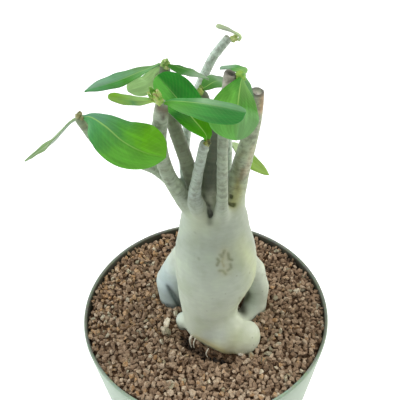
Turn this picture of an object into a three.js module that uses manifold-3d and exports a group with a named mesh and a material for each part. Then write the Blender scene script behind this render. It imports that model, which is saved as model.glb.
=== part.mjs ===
// A potted desert rose (adenium): a swollen grey-green caudex on root legs, nine short branches with a few
// leathery leaves and young shoots, crushed lava over potting mix, and a plain round tapered pot.
// Millimetres, +Z up, the origin at the middle of the pot's underside, -Y towards the viewer.

import * as THREE from "three";
import { mergeVertices } from "three/addons/utils/BufferGeometryUtils.js";
import Module from "manifold-3d";

const wasm = await Module();
wasm.setup();

// Driving dimensions
const POT_HEIGHT = 115;
const POT_RADIUS = 75;
const POT_TAPER = 0.11; // radius lost for each millimetre further down
const POT_WALL = 2.4;
const POT_FLOOR = 3;
const GAP = 0.3; // clearance between pieces that touch
const SOIL_TOP = 96;
const GRAVEL_LEVEL = 111;
const GRAIN = 5.9; // distance between grains, larger than the real 3.5
const LEAF_THICKNESS = 0.95;
const STALK = 0.75; // half width of a leaf's short stalk
const LEAF_FOLD = 0.22; // rise of a blade's halves from its midrib, for each millimetre across

const POT_COLOUR = "#bccbbb";
const SOIL_COLOUR = "#4a382b";
const GRAVEL_COLOUR = "#86695a";
const BARK_COLOUR = "#a9ab98";
const SHOOT_COLOUR = "#b3bf55";
const LEAF_COLOUR = "#3f8f2c";

// The trunk as level rings of [x, y, z, half width]. It is wider across than deep
const TRUNK = [
  [3.2, -13, 92, 14],
  [3.2, -13, 112, 15],
  [2.8, -13, 126, 16.4],
  [5, -10.5, 141, 20.2],
  [6.9, -8, 156, 23],
  [6.7, -5, 170, 22.2],
  [6.3, -3, 183, 19.2],
  [6.2, -1.5, 196, 16.6],
  [6.2, -0.5, 206, 13],
];
const TRUNK_DEPTH = 0.88;
const TRUNK_TOP = 205;

// Root legs and lobes: each a chain of [x, y, z, radius], and how softly it runs into the trunk
const ROOTS = [
  { blend: 9, chain: [[4, -14.5, 118, 13], [13, -20.5, 116, 13.5], [20.5, -24, 115.5, 11.2]] },
  { blend: 4, chain: [[-5, 3, 164, 9], [-13, 8, 142, 10.5], [-19, 12, 125, 11.2], [-19.5, 13, 106, 9.5]] },
  { blend: 4, chain: [[19, -3, 158, 8.5], [28.5, 4, 141, 7.6], [32.5, 4.5, 126, 6.9], [30.5, 1.5, 106, 7]] },
  { blend: 4, chain: [[-7, -11, 118, 5], [-13, -9.5, 113, 5.2], [-13.5, -9.5, 104, 4]] },
];

// Feeding roots, which go down from the caudex into the potting mix
const FEEDING_ROOTS = [
  [[2, -15, 108, 7], [2, -14, 90, 5], [4, -10, 66, 3.4], [9, -6, 42, 2]],
  [[12, -19, 108, 6], [15, -20, 88, 3.8], [24, -24, 66, 2.6], [30, -27, 48, 1.6]],
  [[-19, 12, 108, 6], [-20, 13, 90, 4], [-25, 17, 68, 2.8], [-27, 22, 46, 1.7]],
  [[30, 1, 108, 5], [31, 3, 90, 3.6], [33, 9, 68, 2.6], [31, 16, 50, 1.6]],
];

// Branches, each a chain of [x, y, z, radius] from inside the neck to its tip
const BRANCHES = {
  farLeft: [
    [-1, 3, 190, 5.2], [-9, 4, 201, 4.2], [-21, 3.5, 218, 3.4],
    [-35, -1, 230, 3], [-46.5, -5.5, 241, 2.7], [-53.4, -8, 256.6, 2.2],
  ],
  left: [
    [0, -5, 192, 5.4], [-9, -6, 206, 4.3], [-16.6, -8, 226, 3.6],
    [-18.6, -12, 246, 3.4], [-16.8, -15.6, 262, 3.3], [-16.2, -16, 267, 2.8],
  ],
  midLeft: [
    [2, -2, 192, 5.2], [-3, -1.5, 207, 4.1], [-7, 0.5, 225, 3.6],
    [-12.8, 5.5, 245, 3.2], [-15.8, 11, 258, 2.9], [-15.2, 14, 270.5, 2.4],
  ],
  back: [
    [3, 3, 188, 4.6], [-2, 5, 198, 3.4], [-8, 7.5, 210.5, 2.9],
    [-8.3, 12, 219.5, 2.6], [-7.3, 16.5, 228.6, 2.5], [-4.6, 20, 241.8, 2.4],
    [-0.8, 23, 251.3, 2.3], [7.9, 26.5, 268.4, 2.2], [14.8, 27, 277, 2.1],
  ],
  frontShort: [[1, -8, 195, 4.6], [-3.6, -12, 211, 3.4], [-1.4, -16.5, 232, 2.5], [1.7, -20, 249.5, 2.3]],
  centre: [
    [5, -3, 193, 4.8], [4.6, -2, 207, 4], [5, -0.5, 223, 3.4],
    [7, 2, 239, 2.7], [4.6, 3, 251.5, 2.4], [2, 4, 260, 2.2],
  ],
  front: [
    [9, -9, 190, 4.8], [9.7, -14.5, 208, 3.1], [9.7, -16, 231, 2.6],
    [10.2, -15, 251, 2.6], [11.4, -12, 265, 2.7], [13, -8.5, 277, 2.8],
  ],
  right: [
    [12, -2, 188, 6.4], [16, -2.5, 203, 5.6], [19.4, -1, 220, 4.9],
    [24, 2, 238, 4], [27.2, 5, 249.5, 3.3], [29, 7, 257.5, 2.9],
  ],
  rear: [[8, 5, 188, 4.6], [12.5, 7, 204, 2.9], [14, 8.5, 220, 2.1], [14.2, 9.5, 231, 1.9]],
};

// Shoots: tight young whorls on the branch tips, each a chain of [x, y, z, radius]
const SHOOTS = {
  shoot_far_left: {
    on: "farLeft",
    chain: [[-53.4, -8, 256.6, 1.5], [-53.2, -8.2, 258.6, 1.6], [-52.6, -8.2, 260, 0.9]],
  },
  shoot_left: {
    on: "left",
    chain: [[-16.2, -16, 267, 2], [-17.4, -16.6, 271, 1.9], [-19, -17, 275, 0.9]],
  },
  shoot_mid_left: {
    on: "midLeft",
    chain: [[-15.2, 14, 269.6, 2.1], [-14.6, 13.6, 272, 2.6], [-13.2, 13, 273, 1.6]],
  },
  shoot_short: {
    on: "frontShort",
    chain: [[1.7, -20, 249.5, 1.5], [3, -20.8, 251, 1.6], [5.4, -21.5, 250.8, 1]],
  },
  shoot_centre: {
    on: "centre",
    chain: [[2, 4, 260, 1.6], [0.4, 4, 262.4, 1.8], [-0.6, 4, 264.2, 1]],
  },
  shoot_front: {
    on: "front",
    chain: [[15, -8.5, 275, 1.8], [18.2, -7.8, 275.8, 1.9], [19.8, -6.8, 274, 1.3]],
  },
  shoot_twig: {
    on: "back",
    chain: [[15, 27, 277, 1.2], [17.4, 27, 276.8, 1.3], [19.4, 26.6, 276, 0.9]],
  },
};

// Leaves. midrib runs from the stalk to the tip, widest is how far along the blade is broadest, blunt is
// small for a round tip, lean makes one half wider than the other, skew moves one half's broadest place to
// the tip and the other's to the stalk, face is the way that the upper side looks, and near names the
// branches that the leaf stays clear of
const LEAVES = {
  leaf_far_left: {
    midrib: [
      [-54.7, -8, 257.4], [-57.1, -8, 256.4], [-63, -6.5, 250.1],
      [-69.4, -5, 243], [-84.5, -4, 232.2],
    ],
    halfWidth: 5.6, widest: 0.6, blunt: 1, lean: 0, face: [-0.42, 0.12, 0.84], near: ["farLeft"],
  },
  leaf_left_large: {
    midrib: [
      [-51.9, -8.9, 258.6], [-48.2, -10.5, 259.7], [-41.4, -15, 257.6],
      [-33.8, -19.5, 252.2], [-24.7, -23.5, 248.8], [-15.2, -26, 247.3],
    ],
    halfWidth: 11.9, widest: 0.63, blunt: 0.6, lean: 0.06, skew: 0.15, face: [0.1, -0.94, 0.32],
    near: ["farLeft", "left"],
  },
  leaf_high_left: {
    midrib: [[-17.3, 13, 271.8], [-26.5, 9.5, 269.9], [-36.1, 4, 268.6], [-50.6, -2, 267.4]],
    halfWidth: 5, widest: 0.58, blunt: 1, lean: -0.1, face: [-0.1, -0.2, 0.95], near: ["midLeft"],
  },
  leaf_high_behind: {
    midrib: [[-16.4, 14, 269.4], [-18.6, 14.5, 268.2], [-23.9, 18, 259.7], [-34.5, 20, 254.9]],
    halfWidth: 5.6, widest: 0.62, blunt: 0.45, lean: 0, face: [-0.3, 0.85, -0.1], near: ["midLeft"],
  },
  leaf_middle_large: {
    midrib: [
      [2.2, -20.2, 251.5], [2.6, -20, 253.5], [-3.8, -13.5, 259.8],
      [-9.5, -6.5, 264.6], [-18.3, 2, 271.7],
    ],
    halfWidth: 8.1, widest: 0.62, blunt: 0.45, lean: -0.14, face: [0.2, -0.8, 0.55],
    near: ["frontShort", "left", "midLeft"],
  },
  leaf_high_right: {
    midrib: [[-13.2, 12, 271.7], [-4.6, 9, 270.2], [4.7, 3, 268.8]],
    halfWidth: 4.4, widest: 0.4, blunt: 1, lean: -0.5, face: [0.25, 0.05, 0.95], near: ["midLeft"],
  },
  leaf_front_long: {
    midrib: [
      [-15.3, -16.3, 268.4], [-13.1, -17, 269.6], [-1.8, -23, 272],
      [8.2, -28, 272.7], [18.4, -31, 271.4],
    ],
    halfWidth: 5.4, widest: 0.7, blunt: 0.33, lean: -0.5, face: [0, -0.42, 0.9], near: ["left"],
  },
  leaf_front_narrow: {
    midrib: [
      [-17.3, -17, 270.3], [-18.9, -18, 270.9], [-26.1, -20.5, 272.3],
      [-31.3, -23, 274.8], [-36.5, -25, 277.2],
    ],
    halfWidth: 3.2, widest: 0.68, blunt: 0.4, lean: 0, face: [-0.1, -0.3, 0.95], near: ["left"],
  },
  leaf_centre: {
    midrib: [[1.5, 4, 262.8], [7.3, 11, 262.6], [14.3, 19, 259]],
    halfWidth: 5.6, widest: 0.6, blunt: 0.5, lean: 0, face: [-0.3, -0.5, 0.8], near: ["centre", "front"],
  },
  leaf_right_large: {
    midrib: [
      [18.3, -8.6, 275.2], [17.9, -10.5, 275], [16.4, -17, 270.2],
      [15.1, -23.5, 262.6], [14.8, -28, 256.3],
    ],
    halfWidth: 11.2, widest: 0.66, blunt: 0.62, lean: -0.14, face: [0.3, -0.72, 0.6],
    near: ["front", "right"],
  },
  leaf_right_dark: {
    midrib: [[19.2, -6.6, 274], [19.9, -3, 270.8], [22.9, 0, 263.5], [25.4, 2, 254]],
    halfWidth: 3.6, widest: 0.62, blunt: 0.5, lean: 0, face: [0.4, -0.7, 0.5], near: ["front", "right"],
  },
  leaf_rear: {
    midrib: [[15.1, 9.8, 229.5], [24, 12.5, 217.5], [36, 12, 206.3]],
    halfWidth: 5, widest: 0.5, blunt: 0.85, lean: 0, face: [0.5, -0.3, 0.6], near: ["rear", "right", "front"],
  },
  leaf_curled: {
    midrib: [[19.2, -7.2, 275.8], [19, -4.6, 276], [14.5, -0.8, 275.7], [9.3, -1, 275.9]],
    halfWidth: 3.7, widest: 0.55, blunt: 0.6, lean: 0, face: [-0.1, 0.2, 0.95], near: ["front"],
  },
  leaf_twig: {
    midrib: [[19.5, 26, 276.1], [20.4, 26, 278], [14.8, 27, 281.2], [9.1, 28, 282.9]],
    halfWidth: 1.8, widest: 0.84, blunt: 0.4, lean: 0, face: [0.3, -0.2, 0.9], near: ["back"],
  },
};

// Solids and geometry
function toSolid(geometry) {
  const bare = geometry.clone();
  bare.deleteAttribute("normal");
  bare.deleteAttribute("uv");
  const merged = mergeVertices(bare, 1e-4);
  return new wasm.Manifold(
    new wasm.Mesh({
      numProp: 3,
      vertProperties: new Float32Array(merged.attributes.position.array),
      triVerts: new Uint32Array(merged.index.array),
    }),
  );
}

function toGeometry(solid) {
  const mesh = solid.getMesh();
  const geometry = new THREE.BufferGeometry();
  geometry.setAttribute("position", new THREE.BufferAttribute(mesh.vertProperties, 3));
  geometry.setIndex(new THREE.BufferAttribute(mesh.triVerts, 1));
  geometry.computeVertexNormals();
  return geometry;
}

function indexed(positions, faces) {
  const geometry = new THREE.BufferGeometry();
  geometry.setAttribute("position", new THREE.Float32BufferAttribute(positions, 3));
  geometry.setIndex(faces);
  return geometry;
}

const vector = ([x, y, z]) => new THREE.Vector3(x, y, z);

// A profile of [radius, height] points turned about the pot's axis.
function turned(profile, segments) {
  const outline = profile.map(([r, z]) => new THREE.Vector2(r, z));
  return new THREE.LatheGeometry(outline, segments).rotateX(Math.PI / 2);
}

// A round tube along a chain of [x, y, z, radius], closed by a low dome at each end. swell makes it fatter.
function tubeSolid(chain, sides, steps, swell) {
  const END_RADIUS = 0.6;
  const END_RISE = 0.5;
  const curve = new THREE.CatmullRomCurve3(chain.map(vector));
  const frames = curve.computeFrenetFrames(steps, false);
  const radii = new THREE.SplineCurve(chain.map(([, , , radius], i) => new THREE.Vector2(i, radius)));
  const rings = [];
  const addRing = (i, scale, outward) => {
    const radius = radii.getPoint(i / steps).y + swell;
    const centre = curve.getPoint(i / steps).addScaledVector(frames.tangents[i], outward * radius);
    rings.push({ centre, radius: radius * scale, across: frames.normals[i], up: frames.binormals[i] });
  };
  addRing(0, END_RADIUS, -END_RISE);
  for (let i = 0; i <= steps; i++) addRing(i, 1, 0);
  addRing(steps, END_RADIUS, END_RISE);

  const positions = [];
  for (const { centre, radius, across, up } of rings)
    for (let k = 0; k < sides; k++) {
      const angle = (k / sides) * 2 * Math.PI;
      const p = centre.clone().addScaledVector(across, radius * Math.cos(angle));
      p.addScaledVector(up, radius * Math.sin(angle));
      positions.push(p.x, p.y, p.z);
    }
  const root = positions.length / 3;
  const tip = root + 1;
  const last = rings.length - 1;
  for (const { centre } of [rings[0], rings[last]]) positions.push(centre.x, centre.y, centre.z);
  const faces = [];
  const at = (ring, k) => ring * sides + (k % sides);
  for (let k = 0; k < sides; k++) {
    for (let i = 0; i < last; i++) {
      faces.push(at(i, k), at(i, k + 1), at(i + 1, k + 1));
      faces.push(at(i, k), at(i + 1, k + 1), at(i + 1, k));
    }
    faces.push(root, at(0, k + 1), at(0, k));
    faces.push(tip, at(last, k), at(last, k + 1));
  }
  return toSolid(indexed(positions, faces));
}

// A skin of quads round the region where field(x, y, z) is below zero, with one vertex in each grid cell
// that the surface passes through.
function skinSolid(field, low, high, step) {
  const [nx, ny, nz] = low.map((l, a) => Math.ceil((high[a] - l) / step) + 1);
  const id = (i, j, k) => (k * ny + j) * nx + i;
  const value = new Float32Array(nx * ny * nz);
  for (let k = 0; k < nz; k++)
    for (let j = 0; j < ny; j++)
      for (let i = 0; i < nx; i++) {
        const place = [i, j, k].map((cell, a) => low[a] + cell * step);
        value[id(i, j, k)] = field(...place);
      }

  const stride = [1, nx, nx * ny];
  fillCrossings(value, stride);

  const corners = Array.from({ length: 8 }, (_, c) => [c & 1, (c >> 1) & 1, (c >> 2) & 1]);
  const edges = [];
  for (let a = 0; a < 8; a++) for (const bit of [1, 2, 4]) if (!(a & bit)) edges.push([a, a | bit]);

  const vertexOf = new Map();
  const positions = [];
  for (let k = 0; k < nz - 1; k++)
    for (let j = 0; j < ny - 1; j++)
      for (let i = 0; i < nx - 1; i++) {
        const v = corners.map(([x, y, z]) => value[id(i + x, j + y, k + z)]);
        const cut = edges.filter(([a, b]) => v[a] < 0 !== v[b] < 0);
        if (cut.length === 0) continue;
        const mean = [i, j, k];
        for (const [a, b] of cut)
          for (let d = 0; d < 3; d++)
            mean[d] += THREE.MathUtils.lerp(corners[a][d], corners[b][d], v[a] / (v[a] - v[b])) / cut.length;
        vertexOf.set(id(i, j, k), positions.length / 3);
        positions.push(...mean.map((m, d) => low[d] + m * step));
      }

  const faces = [];
  for (let k = 1; k < nz - 1; k++)
    for (let j = 1; j < ny - 1; j++)
      for (let i = 1; i < nx - 1; i++)
        for (let axis = 0; axis < 3; axis++) {
          const here = id(i, j, k);
          const inside = value[here] < 0;
          if (inside === value[here + stride[axis]] < 0) continue;
          const b = stride[(axis + 1) % 3];
          const c = stride[(axis + 2) % 3];
          const quad = [here, here - b, here - b - c, here - c].map((cell) => vertexOf.get(cell));
          if (!inside) quad.reverse();
          faces.push(quad[0], quad[1], quad[2], quad[0], quad[2], quad[3]);
        }
  return toSolid(indexed(positions, faces));
}

// Fills each face of the grid whose corners are inside and outside by turns, because two sheets of the skin
// would meet in one edge there.
function fillCrossings(value, stride) {
  const SHALLOW = -0.3;
  const last = value.length - stride[0] - stride[1] - stride[2];
  let changed = true;
  while (changed) {
    changed = false;
    for (let cell = 0; cell < last; cell++)
      for (const [u, v] of [[stride[0], stride[1]], [stride[1], stride[2]], [stride[2], stride[0]]]) {
        const [a, b, c, d] = [cell, cell + u, cell + u + v, cell + v].map((corner) => value[corner] < 0);
        if (a !== c || b !== d || a === b) continue;
        value[a ? cell + u : cell] = SHALLOW;
        changed = true;
      }
  }
}

// The pot: one round tapered wall with a rounded lip, a flat floor and drain holes
const outerRadius = (z) => POT_RADIUS - POT_TAPER * (POT_HEIGHT - z);
const innerRadius = (z) => outerRadius(z) - POT_WALL;

function pot() {
  const LIP = POT_WALL / 2;
  const FOOT_BEVEL = 1.5;
  const DRAINS = 5;
  const DRAIN_RADIUS = 5;
  const DRAIN_RING = 34;
  const lip = [45, 90, 135].map((degrees) => {
    const angle = THREE.MathUtils.degToRad(degrees);
    return [POT_RADIUS - LIP + LIP * Math.cos(angle), POT_HEIGHT - LIP + LIP * Math.sin(angle)];
  });
  const profile = [
    [0, 0],
    [outerRadius(0) - FOOT_BEVEL, 0],
    [outerRadius(FOOT_BEVEL), FOOT_BEVEL],
    [outerRadius(POT_HEIGHT - LIP), POT_HEIGHT - LIP],
    ...lip,
    [innerRadius(POT_HEIGHT - LIP), POT_HEIGHT - LIP],
    [innerRadius(POT_FLOOR), POT_FLOOR],
    [0, POT_FLOOR],
  ];
  let solid = toSolid(turned(profile, 64));
  for (let i = 0; i < DRAINS; i++) {
    const angle = (i / DRAINS) * 2 * Math.PI;
    const drill = new THREE.CylinderGeometry(DRAIN_RADIUS, DRAIN_RADIUS, 4 * POT_FLOOR, 14);
    drill.rotateX(Math.PI / 2).translate(DRAIN_RING * Math.cos(angle), DRAIN_RING * Math.sin(angle), 0);
    solid = solid.subtract(toSolid(drill));
  }
  return solid;
}

// Potting mix, which fills the pot up to the gravel, with a plain hole for each root
function pottingMix() {
  const bottom = POT_FLOOR + GAP;
  const profile = [
    [0, bottom],
    [innerRadius(bottom) - GAP, bottom],
    [innerRadius(SOIL_TOP) - GAP, SOIL_TOP],
    [0, SOIL_TOP],
  ];
  let solid = toSolid(turned(profile, 40));
  for (const chain of FEEDING_ROOTS) solid = solid.subtract(rootSolid(chain, GAP));
  return solid;
}

const rootSolid = (chain, swell) => tubeSolid(chain, 7, 6, swell);

// The caudex, as distances that are negative inside: a chain of round limbs, and the trunk, whose centre
// and width change smoothly with height
function chainDistance(chain, x, y, z) {
  let best = Infinity;
  for (let i = 0; i < chain.length - 1; i++) {
    const [ax, ay, az, ar] = chain[i];
    const [bx, by, bz, br] = chain[i + 1];
    const [dx, dy, dz] = [bx - ax, by - ay, bz - az];
    const along = ((x - ax) * dx + (y - ay) * dy + (z - az) * dz) / (dx * dx + dy * dy + dz * dz);
    const t = THREE.MathUtils.clamp(along, 0, 1);
    const radius = THREE.MathUtils.lerp(ar, br, t);
    best = Math.min(best, Math.hypot(x - ax - t * dx, y - ay - t * dy, z - az - t * dz) - radius);
  }
  return best;
}

const trunkCentre = new THREE.CatmullRomCurve3(TRUNK.map(vector));
const trunkWidth = new THREE.SplineCurve(TRUNK.map(([, , z, width]) => new THREE.Vector2(z, width)));

function trunkDistance(x, y, z) {
  const SHOULDER = 6;
  const above = TRUNK.findIndex((ring) => ring[2] > z);
  const i = above < 0 ? TRUNK.length - 2 : Math.max(above - 1, 0);
  const part = THREE.MathUtils.clamp((z - TRUNK[i][2]) / (TRUNK[i + 1][2] - TRUNK[i][2]), 0, 1);
  const t = (i + part) / (TRUNK.length - 1);
  const centre = trunkCentre.getPoint(t);
  const side = Math.hypot(x - centre.x, (y - centre.y) / TRUNK_DEPTH) - trunkWidth.getPoint(t).y;
  return -blended(-side, TRUNK_TOP - z, SHOULDER);
}

// The nearer of two distances, rounded over where they are about equal.
function blended(a, b, reach) {
  const h = Math.max(reach - Math.abs(a - b), 0) / reach;
  return Math.min(a, b) - (h * h * reach) / 4;
}

// Trunk, legs and the flared feet of the branches, which run into each other.
function caudexDistance(x, y, z) {
  const CROTCH = 3;
  const feet = Object.values(BRANCHES).map((chain) => ({ chain: chain.slice(0, 2), blend: CROTCH }));
  let distance = trunkDistance(x, y, z);
  for (const { chain, blend } of [...ROOTS, ...feet])
    distance = blended(distance, chainDistance(chain, x, y, z), blend);
  return distance;
}

// The caudex with its branches above and its feeding roots below. It stands on the potting mix.
const CAUDEX_LOW = [-38, -42, 84];
const CAUDEX_HIGH = [48, 30, 218];

function caudex() {
  const FINENESS = 4.1;
  const foot = SOIL_TOP + GAP;
  const above = (x, y, z) => Math.max(caudexDistance(x, y, z), foot - z);
  let solid = skinSolid(above, CAUDEX_LOW, CAUDEX_HIGH, FINENESS);
  for (const chain of Object.values(BRANCHES)) solid = solid.add(branchSolid(chain, 0));
  for (const chain of FEEDING_ROOTS) solid = solid.add(rootSolid(chain, 0));
  return solid;
}

const branchSolid = (chain, swell) => tubeSolid(chain, 8, 2 * chain.length - 1, swell);

// Crushed lava over the mix, on a jittered triangular lattice: each grain rises to its own height from the
// six low corners that it shares with its neighbours
function gravel() {
  const JITTER = 0.2 * GRAIN;
  const CORNER_JITTER = 0.08 * GRAIN;
  const MOUND = 1.6; // rise round the plant
  const MOUND_REACH = 42;
  const MOUND_CENTRE = new THREE.Vector2(4, -6);
  const BELOW = SOIL_TOP - 8;
  const random = randomSource(7);
  const spread = (reach) => (2 * random() - 1) * reach;
  const level = (x, y) => {
    const away = new THREE.Vector2(x, y).distanceTo(MOUND_CENTRE) / MOUND_REACH;
    return GRAVEL_LEVEL + MOUND * Math.exp(-away * away);
  };

  const rowStep = (GRAIN * Math.sqrt(3)) / 2;
  const half = Math.ceil(POT_RADIUS / GRAIN) + 1;
  const rows = Math.ceil(POT_RADIUS / rowStep) + 1;
  const wide = 2 * half + 1;
  const positions = [];
  for (let j = -rows; j <= rows; j++)
    for (let i = -half; i <= half; i++) {
      const x = (i + (j & 1 ? 0.5 : 0)) * GRAIN + spread(JITTER);
      const y = j * rowStep + spread(JITTER);
      positions.push(x, y, level(x, y) + 0.2 + 1.7 * random());
    }
  const grains = positions.length / 3;
  for (let g = 0; g < grains; g++) positions.push(positions[3 * g], positions[3 * g + 1], BELOW);

  const faces = [];
  const cornerLeftOf = new Map(); // by the directed edge from one grain to the next
  const addCorner = (ring) => {
    const [x, y] = [0, 1].map((d) => ring.reduce((sum, g) => sum + positions[3 * g + d] / 3, 0));
    positions.push(x + spread(CORNER_JITTER), y + spread(CORNER_JITTER), level(x, y) - 1.2 - 0.9 * random());
    ring.forEach((g, k) => cornerLeftOf.set(`${g} ${ring[(k + 1) % 3]}`, positions.length / 3 - 1));
    faces.push(...ring.map((g) => g + grains).reverse());
  };
  for (let j = 0; j < 2 * rows; j++)
    for (let i = 0; i < wide - 1; i++) {
      const a = j * wide + i;
      const c = a + wide;
      const shifted = (j - rows) & 1;
      addCorner(shifted ? [a, a + 1, c + 1] : [a, a + 1, c]);
      addCorner(shifted ? [a, c + 1, c] : [a + 1, c + 1, c]);
    }
  for (const [edge, left] of cornerLeftOf) {
    const [a, b] = edge.split(" ").map(Number);
    const right = cornerLeftOf.get(`${b} ${a}`);
    if (right === undefined) faces.push(a, b, left, a + grains, b + grains, b, a + grains, b, a);
    else if (a < b) faces.push(a, right, left, b, left, right);
  }
  let solid = toSolid(indexed(positions, faces)).intersect(potInside()).subtract(caudexHollow());
  for (const chain of FEEDING_ROOTS) solid = solid.subtract(rootSolid(chain, GAP));
  return solid;
}

// The inside of the pot above the mix, a little smaller than the pot.
function potInside() {
  const bottom = SOIL_TOP + GAP;
  const profile = [
    [0, bottom],
    [innerRadius(bottom) - GAP, bottom],
    [innerRadius(POT_HEIGHT) - GAP, POT_HEIGHT],
    [0, POT_HEIGHT],
  ];
  return toSolid(turned(profile, 48));
}

// What the caudex takes out of the gravel, with a little clearance.
function caudexHollow() {
  const CLEARANCE = 1;
  const FINENESS = 3.6;
  const [low, high] = [88, 120];
  const swollen = (x, y, z) => Math.max(caudexDistance(x, y, z) - CLEARANCE, low - z, z - high);
  return skinSolid(swollen, CAUDEX_LOW, [CAUDEX_HIGH[0], CAUDEX_HIGH[1], high + 4], FINENESS);
}

// A seeded source of numbers from 0 to 1, so that every build gives the same stones.
function randomSource(seed) {
  let state = seed;
  return () => {
    state = (state * 1664525 + 1013904223) % 2 ** 32;
    return state / 2 ** 32;
  };
}

const shootSolid = ({ chain }, swell) => tubeSolid(chain, 7, 4, swell);

// A blade: two grids of points, one over the other, joined by a strip round their edge. Its outline is the
// stalk at its base, and the halves rise from the midrib and curl down again towards the edge.
function leafSolid({ midrib, halfWidth, widest, blunt, lean, skew = 0, face }) {
  const ROWS = 8;
  const COLUMNS = 4;
  const CURL = 0.125;
  const curve = new THREE.CatmullRomCurve3(midrib.map(vector));
  const facing = vector(face);
  const power = blunt / (1 - widest);
  const widthAt = (u, half) => {
    const broadest = widest + half * skew;
    const form = (place) => (place ** broadest * (1 - place) ** (1 - broadest)) ** power;
    return Math.max((halfWidth * form(u)) / form(broadest), STALK);
  };
  const upper = [];
  const lower = [];
  for (let row = 0; row <= ROWS; row++) {
    const u = 1 - (1 - row / ROWS) ** 1.35;
    const tangent = curve.getTangentAt(u);
    const side = facing.clone().cross(tangent).normalize();
    const normal = tangent.clone().cross(side);
    for (let column = 0; column <= COLUMNS; column++) {
      const part = (2 * column) / COLUMNS - 1;
      const half = Math.sign(part);
      const across = widthAt(u, half) * part * (1 + lean * half);
      const lift = LEAF_FOLD * Math.abs(across) - (CURL * across * across) / halfWidth;
      const middle = curve.getPointAt(u).addScaledVector(side, across).addScaledVector(normal, lift);
      upper.push(middle.clone().addScaledVector(normal, LEAF_THICKNESS / 2));
      lower.push(middle.addScaledVector(normal, -LEAF_THICKNESS / 2));
    }
  }

  const positions = [...upper, ...lower].flatMap((p) => [p.x, p.y, p.z]);
  const at = (row, column) => row * (COLUMNS + 1) + column;
  const under = upper.length;
  const faces = [];
  for (let row = 0; row < ROWS; row++)
    for (let column = 0; column < COLUMNS; column++) {
      const [a, b] = [at(row, column), at(row + 1, column)];
      const [c, d] = [b + 1, a + 1];
      faces.push(a, b, c, a, c, d);
      faces.push(a + under, c + under, b + under, a + under, d + under, c + under);
    }
  const addStrip = (a, b) => faces.push(b, a, a + under, b, a + under, b + under);
  for (let row = 0; row < ROWS; row++) {
    addStrip(at(row, 0), at(row + 1, 0));
    addStrip(at(row + 1, COLUMNS), at(row, COLUMNS));
  }
  for (let column = 0; column < COLUMNS; column++) {
    addStrip(at(0, column + 1), at(0, column));
    addStrip(at(ROWS, column), at(ROWS, column + 1));
  }
  return toSolid(indexed(positions, faces));
}

// A leaf or shoot cut back to a hair's breadth from the branches and shoots beside its base.
function seated(solid, branches, shoots) {
  const SEAT = GAP + 0.1;
  for (const name of branches) solid = solid.subtract(branchSolid(BRANCHES[name], SEAT));
  for (const name of shoots) solid = solid.subtract(shootSolid(SHOOTS[name], SEAT));
  return solid;
}

const group = new THREE.Group();

function addPiece(name, solid, color, roughness) {
  const material = new THREE.MeshStandardMaterial({ color, roughness, metalness: 0 });
  const mesh = new THREE.Mesh(toGeometry(solid), material);
  mesh.name = name;
  group.add(mesh);
}

addPiece("pot", pot(), POT_COLOUR, 0.45);
addPiece("potting_mix", pottingMix(), SOIL_COLOUR, 0.95);
addPiece("gravel", gravel(), GRAVEL_COLOUR, 0.9);
addPiece("caudex", caudex(), BARK_COLOUR, 0.75);
for (const [name, shoot] of Object.entries(SHOOTS))
  addPiece(name, seated(shootSolid(shoot, 0), [shoot.on], []), SHOOT_COLOUR, 0.5);
for (const [name, leaf] of Object.entries(LEAVES)) {
  const shoots = Object.keys(SHOOTS).filter((shoot) => leaf.near.includes(SHOOTS[shoot].on));
  addPiece(name, seated(leafSolid(leaf), leaf.near, shoots), LEAF_COLOUR, 0.4);
}

export default group;
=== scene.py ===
# A potted desert rose (adenium): a swollen sage-grey caudex with bare branches and a few leathery leaves,
# rooted in potting mix under crushed lava, in a plain round tapered pot. Forms are worked out in millimetres
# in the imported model's frame, and each mesh is scaled to metres as it is made.

import math

import bmesh
import bpy
import numpy as np
from mathutils import Matrix, Vector


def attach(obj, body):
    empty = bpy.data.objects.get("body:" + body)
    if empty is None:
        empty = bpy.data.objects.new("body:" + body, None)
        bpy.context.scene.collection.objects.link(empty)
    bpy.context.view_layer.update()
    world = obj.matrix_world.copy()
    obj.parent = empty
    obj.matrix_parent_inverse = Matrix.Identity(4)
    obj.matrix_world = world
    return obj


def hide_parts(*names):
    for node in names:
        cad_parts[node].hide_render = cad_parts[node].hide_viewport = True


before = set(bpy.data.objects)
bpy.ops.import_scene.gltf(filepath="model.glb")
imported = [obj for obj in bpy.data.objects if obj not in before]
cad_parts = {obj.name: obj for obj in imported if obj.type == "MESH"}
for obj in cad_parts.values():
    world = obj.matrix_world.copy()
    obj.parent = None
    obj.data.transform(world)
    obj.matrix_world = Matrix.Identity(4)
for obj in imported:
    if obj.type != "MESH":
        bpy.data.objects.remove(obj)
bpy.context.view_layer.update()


# Pot. A one-piece tapered pot, injection moulded in polypropylene with a celadon pigment. The wall is thin,
# the lip is a rounded bead, and drain holes are cored through the flat floor. Lava dust has greyed the lip,
# which is painted paler at the front as a painted highlight. The band low inside the wall is painted near
# black as painted shade.

POT_HEIGHT = 115
POT_RADIUS = 74.97  # at the top of the wall
POT_TAPER = 0.11  # radius lost for each millimetre further down
POT_WALL = 1.9
POT_FLOOR = 3
POT_CORNER = 1.5  # the bevel at the foot, outside and inside
LIP_BEAD = POT_WALL / 2
DRAINS = 5
DRAIN_RADIUS = 5
DRAIN_RING = 34
CREST = 0.45  # how far in from the outside the dust and the painted shade start
CELADON = "#93a791"
CELADON_SHADE = "#899e88"
DUSTY_LIP = "#6f7669"
# Painted shade: the band low inside the wall is painted near black where the wall meets the gravel
PAINTED_WALL_SHADE = "#3d3c2f"


def linear(hex_colour):
    """An sRGB hex colour as the linear RGBA that shaders take."""
    channels = [int(hex_colour[i:i + 2], 16) / 255 for i in (1, 3, 5)]
    return [c / 12.92 if c <= 0.04045 else ((c + 0.055) / 1.055) ** 2.4 for c in channels] + [1]


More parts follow.
